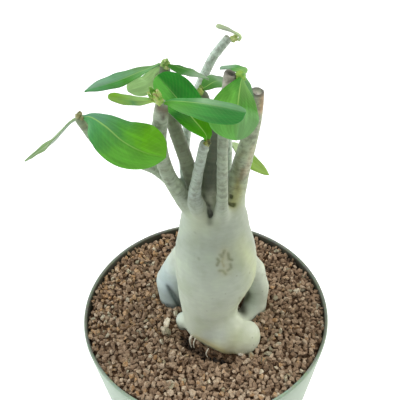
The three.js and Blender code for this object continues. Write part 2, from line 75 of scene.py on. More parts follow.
def add_node(material, kind, inputs=None, stops=None, **settings):
    """Adds a shader node. Each input is a value, an output to link from, or a node, for its first output."""
    tree = material.node_tree
    made = tree.nodes.new("ShaderNode" + kind)
    for name, value in settings.items():
        setattr(made, name, value)
    for name, value in (inputs or {}).items():
        if isinstance(value, bpy.types.Node):
            value = value.outputs[0]
        if isinstance(value, bpy.types.NodeSocket):
            tree.links.new(value, made.inputs[name])
        else:
            made.inputs[name].default_value = value
    for i, (position, hex_colour) in enumerate(stops or []):
        elements = made.color_ramp.elements
        stop = elements[i] if i < 2 else elements.new(position)
        stop.position = position
        stop.color = linear(hex_colour)
    return made


def new_material(name):
    """An empty node material with its output node."""
    material = bpy.data.materials.new(name)
    material.use_nodes = True
    material.node_tree.nodes.clear()
    return material, add_node(material, "OutputMaterial")


def finish_surface(material, output, surface):
    """Joins a surface shader to the material's output."""
    material.node_tree.links.new(surface.outputs[0], output.inputs["Surface"])
    return material


def mesh_piece(name, vertices_mm, faces, materials, smooth=True):
    """A mesh object in metres from vertices in millimetres, riding on the part's one body."""
    mesh = bpy.data.meshes.new(name)
    mesh.from_pydata((np.asarray(vertices_mm, float) * 0.001).tolist(), [], faces)
    mesh.validate()
    mesh.polygons.foreach_set("use_smooth", [smooth] * len(mesh.polygons))
    for material in materials:
        mesh.materials.append(material)
    piece = bpy.data.objects.new(name, mesh)
    bpy.context.scene.collection.objects.link(piece)
    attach(piece, "root")
    return piece


def outer_radius(z):
    return POT_RADIUS - POT_TAPER * (POT_HEIGHT - z)


def inner_radius(z):
    return outer_radius(z) - POT_WALL


def tube_faces(rings, around, first, last):
    """The faces of a tube of rings of vertices, closed by one more vertex at each end."""
    top = (rings - 1) * around
    faces = []
    for k in range(around):
        n = (k + 1) % around
        faces += [(first, n, k), (last, top + k, top + n)]
        for a in range(0, top, around):
            faces.append((a + k, a + n, a + around + n, a + around + k))
    return faces


def pot_profile():
    """[radius, height] points from the middle of the underside, out, up, over the lip and back inside."""
    shoulder = POT_HEIGHT - LIP_BEAD
    outside = [[outer_radius(z), z] for z in np.linspace(POT_CORNER, shoulder, 14)]
    angles = np.radians(np.linspace(15, 165, 9))
    centre = outer_radius(shoulder) - LIP_BEAD
    bead = [[centre + LIP_BEAD * math.cos(a), shoulder + LIP_BEAD * math.sin(a)] for a in angles]
    inside = [[inner_radius(z), z] for z in np.linspace(shoulder, POT_FLOOR + POT_CORNER, 12)]
    under = [[r, 0] for r in (0, 20, 45, outer_radius(0) - POT_CORNER)]
    over = [[r, POT_FLOOR] for r in (inner_radius(POT_FLOOR) - POT_CORNER, 45, 20, 0)]
    return np.array(under + outside + bead + inside + over, float)


def celadon_polypropylene():
    """Moulded polypropylene with a pale green pigment: satin, very slightly uneven in tone."""
    material, output = new_material("celadon_polypropylene")
    place = add_node(material, "TexCoord").outputs["Object"]
    # Flow marks of the moulding, some 30 mm across: a pattern's scale is how many of its marks fit in a metre
    flow = add_node(material, "TexNoise", {"Vector": place, "Scale": 33, "Detail": 3})
    tone = add_node(material, "ValToRGB", {"Fac": flow}, stops=[(0.3, CELADON_SHADE), (0.7, CELADON)])
    # The fine orange peel of a moulded face, 0.8 mm across
    peel = add_node(material, "TexNoise", {"Vector": place, "Scale": 1250, "Detail": 1})
    bump = add_node(material, "Bump", {"Height": peel, "Strength": 0.08, "Distance": 0.0001})
    plastic = add_node(material, "BsdfPrincipled", {
        "Base Color": tone, "Roughness": 0.36, "IOR": 1.49, "Normal": bump,
    })
    return finish_surface(material, output, plastic)


def dust_and_painted_shade_polypropylene():
    """The same plastic under a dry film of lava dust on the lip: grey-olive and matt. The lip is painted
    paler at the front as a painted highlight, and the band low inside the wall is painted near black as
    painted shade.
    """
    material, output = new_material("dust_and_painted_shade_polypropylene")
    place = add_node(material, "TexCoord").outputs["Object"]
    axes = add_node(material, "SeparateXYZ", {"Vector": place}).outputs
    # The lip is painted paler at the front as a painted highlight where the light falls on it, and its dust
    # is whole from 25 mm before the middle backwards
    past_lit_front = add_node(material, "MapRange", {"Value": axes["Y"], "From Min": -0.064, "From Max": -0.025})
    lip = add_node(material, "ValToRGB", {"Fac": past_lit_front}, stops=[(0, CELADON), (1, DUSTY_LIP)])
    # The wall is painted near black as painted shade from 1.7 mm under the top of the lip downwards
    height = add_node(material, "MapRange", {
        "Value": axes["Z"], "From Min": (POT_HEIGHT - 1.7) / 1000, "From Max": (POT_HEIGHT - 0.2) / 1000,
    })
    dust_and_painted_shade = add_node(material, "MixRGB", {"Fac": height, "Color1": linear(PAINTED_WALL_SHADE), "Color2": lip})
    # Specks of dust, 2.4 mm across, which is as fine as they show
    specks = add_node(material, "TexNoise", {"Vector": place, "Scale": 420, "Detail": 4})
    mottled = add_node(material, "MixRGB", {
        "Fac": 0.35, "Color1": dust_and_painted_shade, "Color2": specks.outputs["Color"],
    }, blend_type="OVERLAY")
    bump = add_node(material, "Bump", {"Height": specks, "Strength": 0.2, "Distance": 0.0002})
    dust = add_node(material, "BsdfPrincipled", {
        "Base Color": mottled, "Roughness": 0.7, "IOR": 1.49, "Normal": bump,
    })
    return finish_surface(material, output, dust)


def make_pot():
    around = 192
    angles = np.linspace(0, 2 * math.pi, around, endpoint=False)
    rings = pot_profile()[1:-1]
    x = np.outer(rings[:, 0], np.cos(angles))
    y = np.outer(rings[:, 0], np.sin(angles))
    z = np.repeat(rings[:, 1:2], around, axis=1)
    vertices = np.stack([x, y, z], -1).reshape(-1, 3).tolist() + [[0, 0, 0], [0, 0, POT_FLOOR]]
    faces = tube_faces(len(rings), around, len(vertices) - 2, len(vertices) - 1)
    plastics = [celadon_polypropylene(), dust_and_painted_shade_polypropylene()]
    pot = mesh_piece("pot_shell", vertices, faces, plastics)
    for face in pot.data.polygons:
        x, y, z = face.center * 1000
        dust_or_painted_shade = z > POT_FLOOR - 1 and math.hypot(x, y) < outer_radius(z) - CREST
        face.material_index = 1 if dust_or_painted_shade else 0
    for i in range(DRAINS):
        angle = 2 * math.pi * i / DRAINS
        bpy.ops.mesh.primitive_cylinder_add(
            vertices=48, radius=DRAIN_RADIUS / 1000, depth=4 * POT_FLOOR / 1000,
            location=(DRAIN_RING * math.cos(angle) / 1000, DRAIN_RING * math.sin(angle) / 1000, 0),
        )
        drill = bpy.context.object
        core = pot.modifiers.new("drain", "BOOLEAN")
        core.operation = "DIFFERENCE"
        core.object = drill
        bpy.context.view_layer.objects.active = pot
        bpy.ops.object.modifier_apply(modifier=core.name)
        bpy.data.objects.remove(drill)
    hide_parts("pot")


make_pot()


# Potting mix. Peat, bark fines and perlite, poured in and firmed by hand under the lava. Only the drain
# holes show it.

def peat_and_bark():
    """Moist peat with bark crumbs: dark, matt and crumbly, with grains of 2 to 3 mm."""
    material, output = new_material("peat_and_bark")
    place = add_node(material, "TexCoord").outputs["Object"]
    crumbs = add_node(material, "TexVoronoi", {"Vector": place, "Scale": 400})
    tone = add_node(material, "ValToRGB", {"Fac": crumbs.outputs["Color"]}, stops=[
        (0.1, "#2b1f17"), (0.7, "#5a4434"), (0.95, "#b9ab98"),
    ])
    bump = add_node(material, "Bump", {"Height": crumbs, "Strength": 0.9, "Distance": 0.001})
    peat = add_node(material, "BsdfPrincipled", {"Base Color": tone, "Roughness": 0.95, "Normal": bump})
    return finish_surface(material, output, peat)


mix_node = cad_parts["potting_mix"]
mix_node.data.materials.clear()
mix_node.data.materials.append(peat_and_bark())


# Caudex. The plant's body, all one growth: a swollen trunk on root legs, a fat root that lies forward as a
# foot, a low web of root behind the waist, and nine short branches. It is living wood under a smooth waxy
# bark. The form is a field of distances, negative inside, and its zero surface becomes the mesh.

SOIL_TOP = 96.3
TRUNK = [  # x, y, z and half width
    [3.2, -13, 92, 14], [2.9, -13, 112, 14.6], [1.9, -13, 126, 15.5],
    [4.2, -10.5, 141, 19.3], [6.6, -8, 156, 22.7], [6.7, -5, 170, 22.2],
    [6.3, -3, 183, 19.2], [6.2, -1.5, 196, 16.6], [6.2, -0.5, 206, 13],
]
TRUNK_DEPTH = 0.88  # front to back, as a share of its width
TRUNK_TOP = 205
SHOULDER = 6  # how softly the trunk rounds over at the top
COLLAR = 3  # how softly the foot of a branch runs into the trunk, and then the branch itself
BRANCH_JOIN = 1.2
FEEDER_JOIN = 0.5
ROOTS = {  # how softly each runs into the trunk, and its x, y, z and radius
    "foot": (6.5, [[4, -14.5, 118, 13], [13, -20.5, 116, 13.5], [20.5, -24, 115.5, 11.2]]),
    "left leg": (4, [[-5, 3, 164, 9], [-13, 8, 142, 10.5], [-19, 12, 125, 11.2], [-19.5, 13, 106, 9.5]]),
    "right leg": (4, [[19, -3, 158, 8.5], [28.5, 4, 141, 7.6], [32.5, 4.5, 126, 6.9], [30.5, 1.5, 106, 7]]),
    "web": (3, [[30, 0.5, 113, 6], [25.5, -5, 111.5, 5.4], [20, -10, 111, 5.4]]),
    "toe": (4, [[-7, -11, 118, 5], [-13, -9.5, 113, 5.2], [-13.5, -9.5, 104, 4]]),
}
FEEDING_ROOTS = [  # in the potting mix
    [[2, -15, 108, 7], [2, -14, 90, 5], [4, -10, 66, 3.4], [9, -6, 42, 2]],
    [[12, -19, 108, 6], [15, -20, 88, 3.8], [24, -24, 66, 2.6], [30, -27, 48, 1.6]],
    [[-19, 12, 108, 6], [-20, 13, 90, 4], [-25, 17, 68, 2.8], [-27, 22, 46, 1.7]],
    [[30, 1, 108, 5], [31, 3, 90, 3.6], [33, 9, 68, 2.6], [31, 16, 50, 1.6]],
]
BRANCHES = {  # x, y, z and radius, from inside the trunk to the tip
    "far left": [
        [-1, 3, 190, 5.2], [-9, 4, 201, 4.2], [-21, 3.5, 218, 3.4],
        [-35, -1, 230, 3], [-46.5, -5.5, 241, 2.7], [-53.4, -8, 256.6, 2.2],
    ],
    "left": [
        [0, -5, 192, 5.4], [-9, -6, 206, 4.3], [-16.6, -8, 226, 3.6],
        [-18.6, -12, 246, 3.4], [-16.8, -15.6, 262, 3.3], [-16.2, -16, 267, 2.8],
    ],
    "mid left": [
        [2, -2, 192, 5.2], [-3, -1.5, 207, 4.1], [-7, 0.5, 225, 3.6],
        [-12.8, 5.5, 245, 3.2], [-15.8, 11, 258, 2.9], [-15.2, 14, 270.5, 2.4],
    ],
    "back": [
        [3, 3, 188, 4.6], [-2, 5, 198, 3.4], [-8, 7.5, 210.5, 2.9],
        [-8.3, 12, 219.5, 2.6], [-7.3, 16.5, 228.6, 2.5], [-4.6, 20, 241.8, 2.4],
        [-0.8, 23, 251.3, 2.3], [7.9, 26.5, 268.4, 2.2], [14.8, 27, 277, 2.1],
    ],
    "front short": [
        [1, -8, 195, 4.6], [-3.6, -12, 211, 3.4], [-1.4, -16.5, 232, 2.5], [1.7, -20, 249.5, 2.3],
    ],
    "centre": [
        [4.4, -3, 193, 5.4], [3.9, -2.2, 207, 4.9], [4.4, -0.8, 223, 3.9],
        [7, 2, 239, 2.7], [4.6, 3, 251.5, 2.4], [2, 4, 260, 2.2],
    ],
    "front": [
        [9, -9, 190, 4.8], [9.7, -14.5, 208, 3.1], [9.7, -16, 231, 2.6],
        [10.2, -15, 251, 2.6], [11.4, -12, 265, 2.7], [13.3, -8.7, 276.7, 2.7],
    ],
    "right": [
        [12, -2, 188, 6.4], [16, -2.5, 203, 5.6], [19.4, -1, 220, 4.9],
        [24, 2, 238, 4], [26.6, 4.8, 249.5, 3.4], [27, 6.2, 259, 3.4],
    ],
    "rear": [[8, 5, 188, 4.6], [12.5, 7, 204, 2.9], [14, 8.5, 220, 2.1], [14.2, 9.5, 231, 1.9]],
}
SOFT_HOLLOWS = [  # under the lifted side of the foot, and at the waist over it: x, y, z and radius
    [[-13, -17, 108, 3.4], [-9, -23, 108.4, 4], [-2, -29.5, 108, 4.4], [5, -34, 107.4, 4], [11, -37, 107, 3]],
    [
        [24.6, -16.5, 146, 2.2], [24, -17.4, 138.5, 4.6], [22.6, -20, 133.4, 4.2],
        [24.5, -21.8, 130.8, 3.4], [29, -23, 127.6, 2],
    ],
    [
        [24, -12, 135, 3.4], [22.7, -14.5, 128.6, 4.2], [23.4, -15.6, 123, 4.2],
        [26, -16.6, 119.6, 3.4], [30, -17, 117.5, 2.4],
    ],
    [[23.6, -12, 126, 3.6], [23.6, -12.4, 121, 4.4], [25, -13, 118.6, 3.4]],
]
SAWN_OFF = {  # branches that end in an old cut with the pith sunk in, and the way each cut faces
    "right": [0.1, -0.2, 0.97],
    "front": [0.3, -0.2, 0.93],
    "back": [0.6, 0.1, 0.8],
}
GROOVES = [  # creases in the bark, each a chain of x, y, z and radius
    [[2.2, -9.4, 205.8, 0.5], [3.5, -11.5, 202.2, 1.3], [4.8, -12, 201.4, 1.1]],
    [[3.8, -12.4, 201.2, 1.1], [3.9, -13, 199.9, 0.8]],
    [[-22.2, 0.6, 132.6, 0.5], [-20.3, 0.5, 127.5, 1.1], [-18.3, 2.4, 120.2, 1.4], [-16, 3.1, 113, 1.6]],
    [[14.9, -5.9, 208.1, 1.1], [15.2, -6.7, 206, 0.5]],
    [[13.4, -7.7, 204.1, 0.7], [15.4, -7.7, 203.2, 1.3], [16.2, -7.8, 204.4, 0.6]],
]
GROOVE_SOFTNESS = 0.8
HOLLOW_SOFTNESS = 2.5
VOXEL = 0.75  # the field's spacing, and the corners of the space that it fills
FIELD_LOW = np.array([-60.0, -44.0, 38.0])
FIELD_HIGH = np.array([49.0, 36.0, 285.0])
BARK_SWELLINGS = [(0.28, 26, 3), (0.13, 9, 4), (0.07, 4, 5)]  # depth, size and a seed for each
KNOTS = (0.5, 6, 6)
RELIEF_LOW, RELIEF_HIGH = 108, 114  # the bark is smooth under the gravel, and has its full relief over it
NECK_LOW, NECK_HIGH = 200, 216  # where the trunk's bark turns into the branches'
PAINTED_LIGHT_LOW, PAINTED_LIGHT_HIGH = 118, 178  # the bark is painted lighter low down and darker higher up over this height, as painted light
BARK_LOW = "#c9d1be"
BARK_HIGH = "#99a293"
# The centre branch's bark is painted dark as painted shade, as the branches round it shade it
BRANCH_BARK = {
    "far left": "#9eae96", "left": "#95a18d", "mid left": "#737c66", "back": "#b8c6bc",
    "front short": "#94a095", "centre": "#586250", "front": "#949f8c", "right": "#9aa58b", "rear": "#d1e0d1",
}
BARK_TINTS = [  # where the bark differs: a line of places, its reach in millimetres, colour and strength
    # Blue wax on the legs, straw tones on the foot and the trunk's right side, and painted light low on the
    # front
    ([[-22, 4, 135], [-24, 4, 116]], 13, "#a9bcc4", 0.75),
    ([[28, -3, 134], [30, -4, 112]], 7, "#b3bfb5", 0.6),
    ([[16, -30, 118], [4, -30, 112]], 9, "#bdba90", 0.6),
    ([[-6, -26.5, 117], [1, -30, 116], [9, -33.6, 114.5]], 2.8, "#c3b880", 0.75),
    ([[10, -33, 111], [20, -35, 110]], 2.6, "#b3a674", 0.6),
    # Painted light low on the body's front, where it turns under into the foot and lies in shade
    ([[2, -28.6, 122.5], [8, -29, 124]], 4.5, "#aab0aa", 0.6),
    ([[22, -18, 182], [27, -14, 160], [22, -20, 140]], 7, "#b0b78c", 0.6),
    # The ring of small scars on the trunk
    ([[10.7, -20, 181.5], [10.9, -23.6, 171]], 3.4, "#a5a27e", 0.45),
    ([[8.3, -20.4, 180.4], [9.2, -20.9, 179.2], [10.6, -19.6, 182.3]], 0.8, "#6d7353", 0.75),
    ([[12.6, -19.9, 180.4], [12.9, -21, 177.6], [14.6, -20.8, 176.6]], 0.8, "#696e4d", 0.8),
    ([[13.6, -21.8, 174.4], [14, -22.6, 172.6], [12.2, -23.4, 171.6]], 0.8, "#6d7353", 0.75),
    ([[11, -24.2, 169.8], [9.6, -23.6, 171.8], [7.8, -23.8, 172]], 0.8, "#727853", 0.7),
    ([[6.7, -22.8, 175.4], [7.7, -22, 177.2], [7, -21.6, 178.4]], 0.8, "#696e4d", 0.8),
    ([[10, -21.4, 178.6], [9.2, -22, 177], [10.2, -22.8, 174.2]], 0.6, "#8b8a66", 0.7),
    # The neck: painted shade darkens the hollows between the branches, and painted light lifts the shade on
    # its middle
    ([[-6, -17, 196], [2, -15, 200]], 7, "#a9b08c", 0.4),
    ([[4.2, -5, 200], [4, -5, 210]], 6, "#b9bea9", 0.9),
    ([[13, -5, 196], [16.5, -5, 208]], 5, "#b4b995", 0.6),
    ([[2, -7, 209], [2.6, -9.4, 204.4]], 2.4, "#727962", 0.5),
    ([[6, -6, 208], [6.4, -10, 203]], 2.2, "#6a7158", 0.6),
    ([[3.3, -11.2, 202.2], [5.2, -11.6, 201.8], [4.2, -12, 200.6]], 1.9, "#262b21", 0.95),
    ([[3.9, -13, 200.6], [3.6, -14.2, 199.2], [3.5, -14.8, 198]], 1.7, "#4a5040", 0.6),
    ([[5, -4.4, 225], [4.9, -5.4, 218], [3.2, -6.2, 213.6]], 3.4, "#2f3626", 0.85),
    ([[2.6, -8.9, 205.4], [3.4, -9.4, 204.7]], 1.1, "#2e3322", 0.9),
    ([[0.9, -6.4, 208.8], [2, -8.4, 206.4]], 1.1, "#3c4230", 0.75),
    ([[6.6, -5, 212], [6.9, -4, 216]], 1.4, "#3a4030", 0.7),
    # Pits and rusty patches on the right branch
    ([[17.9, -7.4, 212], [15.6, -8, 204]], 3, "#8f8f4c", 0.7),
    ([[14.9, -5.9, 208.2], [15, -6.1, 207.6]], 1.1, "#2a2713", 0.9),
    ([[13.8, -7.8, 203.7], [15.4, -7.8, 203.1]], 0.9, "#2f2c16", 0.9),
    ([[17.6, -6.4, 213.6], [18, -6, 217.6]], 1.7, "#7f7a3a", 0.75),
    ([[19.4, -5.8, 218.8], [20.3, -5.4, 223.4]], 1.5, "#735c38", 0.75),
    ([[17, -5.6, 219], [17.4, -4, 226]], 1.4, "#696a44", 0.6),
    ([[18.2, -3, 229], [20.4, -3.4, 232.6]], 1.4, "#6f6a4c", 0.5),
    ([[22, -5, 221], [25, -2, 234]], 1.6, "#b8a993", 0.55),
    # Painted shade in the folds and gaps beside the legs and at the waist, and a few single specks
    ([[-22.2, 0.6, 132.4], [-20.2, 0.3, 127.3], [-18.3, 2.2, 120.2], [-16.6, 3, 112]], 2, "#37454a", 0.9),
    ([[19.6, -17, 129], [20, -15.2, 126]], 2.2, "#4f5334", 0.85),
    ([[21.6, 3, 110], [23, 1, 114], [22.8, -2.4, 115], [22.6, -7, 116]], 3.6, "#2b2b18", 0.97),
    ([[24, 2.3, 115.6], [25.3, 0.6, 120], [26, -0.2, 124]], 3.2, "#373b24", 0.93),
    ([[19.3, -24.6, 150], [19.6, -23.4, 145]], 1, "#6d7146", 0.6),
    ([[-2.9, -20, 177.8], [-2.6, -20.1, 177.2]], 0.8, "#7d8473", 0.7),
    ([[-4.8, -14.5, 191.2], [-3.6, -14.5, 190.8]], 0.6, "#848b78", 0.6),
    # Old cuts and weathered branch tips, and a painted shadow on the front branch's tip under the curled leaf
    ([[-17.2, -18.5, 267.6], [-15, -18.4, 266.4], [-13.4, -16.6, 265]], 2, "#5a4630", 0.8),
    ([[-15.4, -18.9, 263.4], [-15.4, -18.9, 262.4]], 1, "#3d3427", 0.85),
    ([
        [29.9, 6.2, 260.2], [29, 8.3, 260.7], [27, 9.1, 261.1], [25, 8.3, 261.1], [24.1, 6.2, 260.8],
        [25, 4.1, 260.3], [27, 3.3, 259.9], [29, 4.1, 259.8], [29.9, 6.2, 260.2],
    ], 1.5, "#1d1c1a", 0.97),
    ([[26.9, 5.9, 258.4], [27.1, 6.3, 258.8]], 2, "#e2dcd6", 0.97),
    ([[29.4, 3.4, 257.4], [29.2, 2.6, 252]], 2, "#a8805c", 0.75),
    ([[13, -8.5, 279], [12.4, -11, 274]], 3.2, "#b5a6a0", 0.8),
    # Painted shadow, near black, where the curled leaf shades the front branch's tip
    ([[12.6, -8.8, 278.1], [13.9, -8.3, 276.7], [15.7, -9.8, 276.9]], 2.2, "#1d2614", 0.97),
    ([[14.8, 27, 279], [14.8, 27, 283]], 2.6, "#8f8c80", 0.8),
    # Stretches of branch that are greener or darker than the rest, and a browned tip. The centre branch's
    # dark
    #     # stretch is painted shade, where the branches round it shade it
    ([[-38, -2, 233], [-46.5, -5.5, 241], [-53.4, -8, 256.6]], 5, "#8aa37e", 0.9),
    ([[-11.5, 4, 240], [-15.8, 11, 258], [-15.2, 14, 270.5]], 5, "#647056", 0.9),
    # Painted shade on the centre branch, which stands in shade among the others
    ([[3.9, -1.5, 215], [6, 1, 232]], 5, "#505948", 0.9),
    ([[-52, -9, 254], [-53.4, -8, 258]], 2.2, "#5e5136", 0.6),
]


def curve_through(rows, spacing):
    """A centripetal Catmull-Rom curve through rows that start with x, y, z, sampled about every spacing."""
    rows = np.array(rows, float)
    ends = np.vstack([2 * rows[0] - rows[1], rows, 2 * rows[-1] - rows[-2]])
    pieces = []
    for a, b, c, d in zip(ends, ends[1:], ends[2:], ends[3:]):
        gaps = [math.sqrt(np.linalg.norm((q - p)[:3])) for p, q in ((a, b), (b, c), (c, d))]
        leave = ((b - a) / gaps[0] - (c - a) / (gaps[0] + gaps[1]) + (c - b) / gaps[1]) * gaps[1]
        arrive = ((c - b) / gaps[1] - (d - b) / (gaps[1] + gaps[2]) + (d - c) / gaps[2]) * gaps[1]
        steps = max(2, round(gaps[1] ** 2 / spacing))
        t = np.linspace(0, 1, steps, endpoint=False)[:, None]
        pieces.append(
            b + leave * t + (3 * (c - b) - 2 * leave - arrive) * t**2 + (2 * (b - c) + leave + arrive) * t**3
        )
    return np.vstack(pieces + [rows[-1:]])


def blended(a, b, reach):
    """The nearer of two distances, rounded over where they are about equal."""
    h = np.maximum(reach - np.abs(a - b), 0) / reach
    return np.minimum(a, b) - h * h * reach / 4


def segment_distance(x, y, z, start, end):
    """Distance to one tapered limb between two rows of x, y, z, radius, and how far along it the place is."""
    run = end[:3] - start[:3]
    along = ((x - start[0]) * run[0] + (y - start[1]) * run[1] + (z - start[2]) * run[2]) / (run @ run)
    along = np.clip(along, 0, 1)
    away = np.sqrt(
        (x - start[0] - along * run[0]) ** 2
        + (y - start[1] - along * run[1]) ** 2
        + (z - start[2] - along * run[2]) ** 2
    )
    return away - (start[3] + along * (end[3] - start[3])), along


def field_axes():
    """The places in x, y and z at which the field is known."""
    sizes = np.ceil((FIELD_HIGH - FIELD_LOW) / VOXEL).astype(int)
    return [FIELD_LOW[i] + VOXEL * np.arange(sizes[i]) for i in range(3)]


def block_round(axes, chain, pad):
    """The slices of the field that hold a chain with some space round it."""
    low = (chain[:, :3] - chain[:, 3:4]).min(0) - pad
    high = (chain[:, :3] + chain[:, 3:4]).max(0) + pad
    return tuple(slice(*np.searchsorted(axes[i], [low[i], high[i]])) for i in range(3))


def chain_block(axes, chain, pad):
    """A block of the field, and the distance to a chain of limbs all over it."""
    block = block_round(axes, chain, pad)
    x, y, z = np.meshgrid(*[axes[i][block[i]] for i in range(3)], indexing="ij", sparse=True)
    nearest = np.inf
    for start, end in zip(chain, chain[1:]):
        nearest = np.minimum(nearest, segment_distance(x, y, z, start, end)[0])
    return block, nearest


def grow(field, axes, chain, reach):
    """Adds a chain of limbs to the field."""
    block, distance = chain_block(axes, np.array(chain, float), reach + 2)
    field[block] = blended(field[block], distance, reach)


def crease(field, axes, chain, softness=GROOVE_SOFTNESS):
    """Presses a groove into the field along a chain."""
    block, distance = chain_block(axes, np.array(chain, float), 3)
    field[block] = -blended(-field[block], distance, softness)


def saw_off(field, axes, tip, facing):
    """Cuts a branch across just past its last point and sinks the pith in the middle."""
    tip = np.array(tip, float)
    direction = np.array(facing) / np.linalg.norm(facing)
    stub, pith_radius = 0.42 * tip[3], 0.62 * tip[3]
    block = block_round(axes, tip[None], 3)
    x, y, z = np.meshgrid(*[axes[i][block[i]] for i in range(3)], indexing="ij", sparse=True)
    out = (x - tip[0]) * direction[0] + (y - tip[1]) * direction[1] + (z - tip[2]) * direction[2]
    from_axis = (x - tip[0]) ** 2 + (y - tip[1]) ** 2 + (z - tip[2]) ** 2 - out**2
    past_cut = out - stub
    pith = np.sqrt(past_cut**2 + np.maximum(from_axis, 0)) - pith_radius
    field[block] = -blended(-np.maximum(field[block], past_cut), pith, 0.3)


def caudex_field():
    """The field of the whole plant body: trunk, roots, branches, cuts, grooves and hollows."""
    axes = field_axes()
    x, y, z = np.meshgrid(*axes, indexing="ij", sparse=True)
    rings = curve_through(TRUNK, 1.0)
    level = z.ravel()
    centre_x, centre_y, width = [np.interp(level, rings[:, 2], rings[:, i]) for i in (0, 1, 3)]
    side = np.sqrt((x - centre_x) ** 2 + ((y - centre_y) / TRUNK_DEPTH) ** 2) - width
    field = -blended(-side, TRUNK_TOP - z, SHOULDER)
    for reach, chain in ROOTS.values():
        grow(field, axes, chain, reach)
    for chain in BRANCHES.values():
        grow(field, axes, chain[:2], COLLAR)
    field = np.maximum(field, SOIL_TOP - z)
    for chain in FEEDING_ROOTS:
        grow(field, axes, curve_through(chain, 4), FEEDER_JOIN)
    for chain in BRANCHES.values():
        grow(field, axes, curve_through(chain, 4), BRANCH_JOIN)
    for name, facing in SAWN_OFF.items():
        saw_off(field, axes, BRANCHES[name][-1], facing)
    for chain in GROOVES:
        crease(field, axes, curve_through(chain, 2))
    for chain in SOFT_HOLLOWS:
        crease(field, axes, curve_through(chain, 2), HOLLOW_SOFTNESS)
    return field


def sampled(field, points):
    """The field's value at each point, between its grid's own values."""
    place = (points - FIELD_LOW) / VOXEL
    place = np.clip(place, 0, np.array(field.shape) - 1.001)
    base = place.astype(int)
    part = place - base
    total = np.zeros(len(points))
    for corner in np.ndindex(2, 2, 2):
        share = np.prod(np.where(corner, part, 1 - part), axis=1)
        total += share * field[tuple((base + corner).T)]
    return total


def slope(field, points):
    """The direction in which the field grows fastest at each point, as a unit vector."""
    step = 0.5 * VOXEL
    rise = [sampled(field, points + step * axis) - sampled(field, points - step * axis) for axis in np.eye(3)]
    rise = np.stack(rise, 1)
    return rise / np.maximum(np.linalg.norm(rise, axis=1, keepdims=True), 1e-9)


def skin(field):
    """The field's zero surface as quads, with one vertex in each grid cell that it passes through."""
    inside = field < 0
    cells = np.array(field.shape) - 1
    total = np.zeros((*cells, 3), np.float32)
    count = np.zeros(cells, np.int8)
    for axis in range(3):
        for shift in np.ndindex(*[1 if i == axis else 2 for i in range(3)]):
            near = tuple(slice(s, s + n) for s, n in zip(shift, cells))
            step = [int(i == axis) for i in range(3)]
            far = tuple(slice(s + one, s + n + one) for s, n, one in zip(shift, cells, step))
            crossed = inside[near] != inside[far]
            at = np.nonzero(crossed)
            a, b = field[near][at], field[far][at]
            for i in range(3):
                total[(*at, i)] += a / (a - b) if i == axis else shift[i]
            count[at] += 1
    used = np.nonzero(count)
    number = np.full(cells, -1)
    number[used] = np.arange(len(used[0]))
    points = FIELD_LOW + VOXEL * (np.stack(used, 1) + total[used] / count[used][:, None])

    quads = []
    for axis in range(3):
        u, v = (axis + 1) % 3, (axis + 2) % 3
        ahead = np.roll(inside, -1, axis)
        i = np.stack(np.nonzero(inside != ahead), 1)
        i = i[((i > 0) & (i < cells)).all(1)]
        du, dv = np.eye(3, dtype=int)[u], np.eye(3, dtype=int)[v]
        corners = [number[tuple((i - step).T)] for step in (0 * du, du, du + dv, dv)]
        quad = np.stack(corners, 1)
        outward = inside[tuple(i.T)]
        quad[~outward] = quad[~outward][:, ::-1]
        quads.append(quad)
    return points, np.vstack(quads)


def relaxed(points, quads, field, rounds):
    """Evens out a skin's vertices and keeps them on the field's surface."""
    ends = np.vstack([quads[:, [i, (i + 1) % 4]] for i in range(4)])
    degree = np.bincount(ends[:, 0], minlength=len(points))[:, None]
    for _ in range(rounds):
        neighbours = np.stack(
            [np.bincount(ends[:, 0], points[ends[:, 1], i], len(points)) for i in range(3)], 1,
        )
        points = 0.5 * points + 0.5 * neighbours / degree
        points = points - 0.9 * sampled(field, points)[:, None] * slope(field, points)
    return points


def ripple(points, size, seed):
    """Smooth random relief from -1 to 1, with waves of about one size in millimetres."""
    draw = np.random.default_rng(seed)
    total = np.zeros(len(points))
    for _ in range(9):
        way = draw.normal(size=3)
        way *= 2 * math.pi / (size * draw.uniform(0.7, 1.5) * np.linalg.norm(way))
        total += np.sin(points @ way + draw.uniform(0, 2 * math.pi))
    return total / 4.5


def line_distance(points, line):
    """Distance from each point to a line of places."""
    rows = np.hstack([np.array(line, float), np.zeros((len(line), 1))])
    x, y, z = points.T
    return np.min([segment_distance(x, y, z, a, b)[0] for a, b in zip(rows, rows[1:])], axis=0)


def branch_coordinates(points):
    """How far along its branch each point lies, in millimetres, how fully it belongs to a branch, and the
    bark colour of the nearest one."""
    x, y, z = points.T
    best = np.full(len(points), np.inf)
    along = np.zeros(len(points))
    colours = np.zeros((len(points), 4))
    for branch, chain in BRANCHES.items():
        rows = curve_through(chain, 4)
        reached = 0.0
        for start, end in zip(rows, rows[1:]):
            distance, part = segment_distance(x, y, z, start, end)
            length = np.linalg.norm((end - start)[:3])
            closer = distance < best
            best = np.where(closer, distance, best)
            along = np.where(closer, reached + part * length, along)
            colours[closer] = linear(BRANCH_BARK[branch])
            reached += length
    return along, np.clip((z - NECK_LOW) / (NECK_HIGH - NECK_LOW), 0, 1), colours


def bark_colours(points, twig, branch_colours):
    """Linear colours of the bark at each point, from its general tone, painted lighter low down as painted
    light, and its marks, some of which are painted shade or light.
    """
    low, high = np.array(linear(BARK_LOW)), np.array(linear(BARK_HIGH))
    rise = np.clip((points[:, 2:3] - PAINTED_LIGHT_LOW) / (PAINTED_LIGHT_HIGH - PAINTED_LIGHT_LOW), 0, 1)
    body = low + rise * (high - low)
    colours = body + twig[:, None] * (branch_colours - body)
    for line, reach, hex_colour, strength in BARK_TINTS:
        amount = strength * np.exp(-((line_distance(points, line) / reach) ** 2))
        colours += amount[:, None] * (np.array(linear(hex_colour)) - colours)
    colours[:, 3] = 1
    return colours


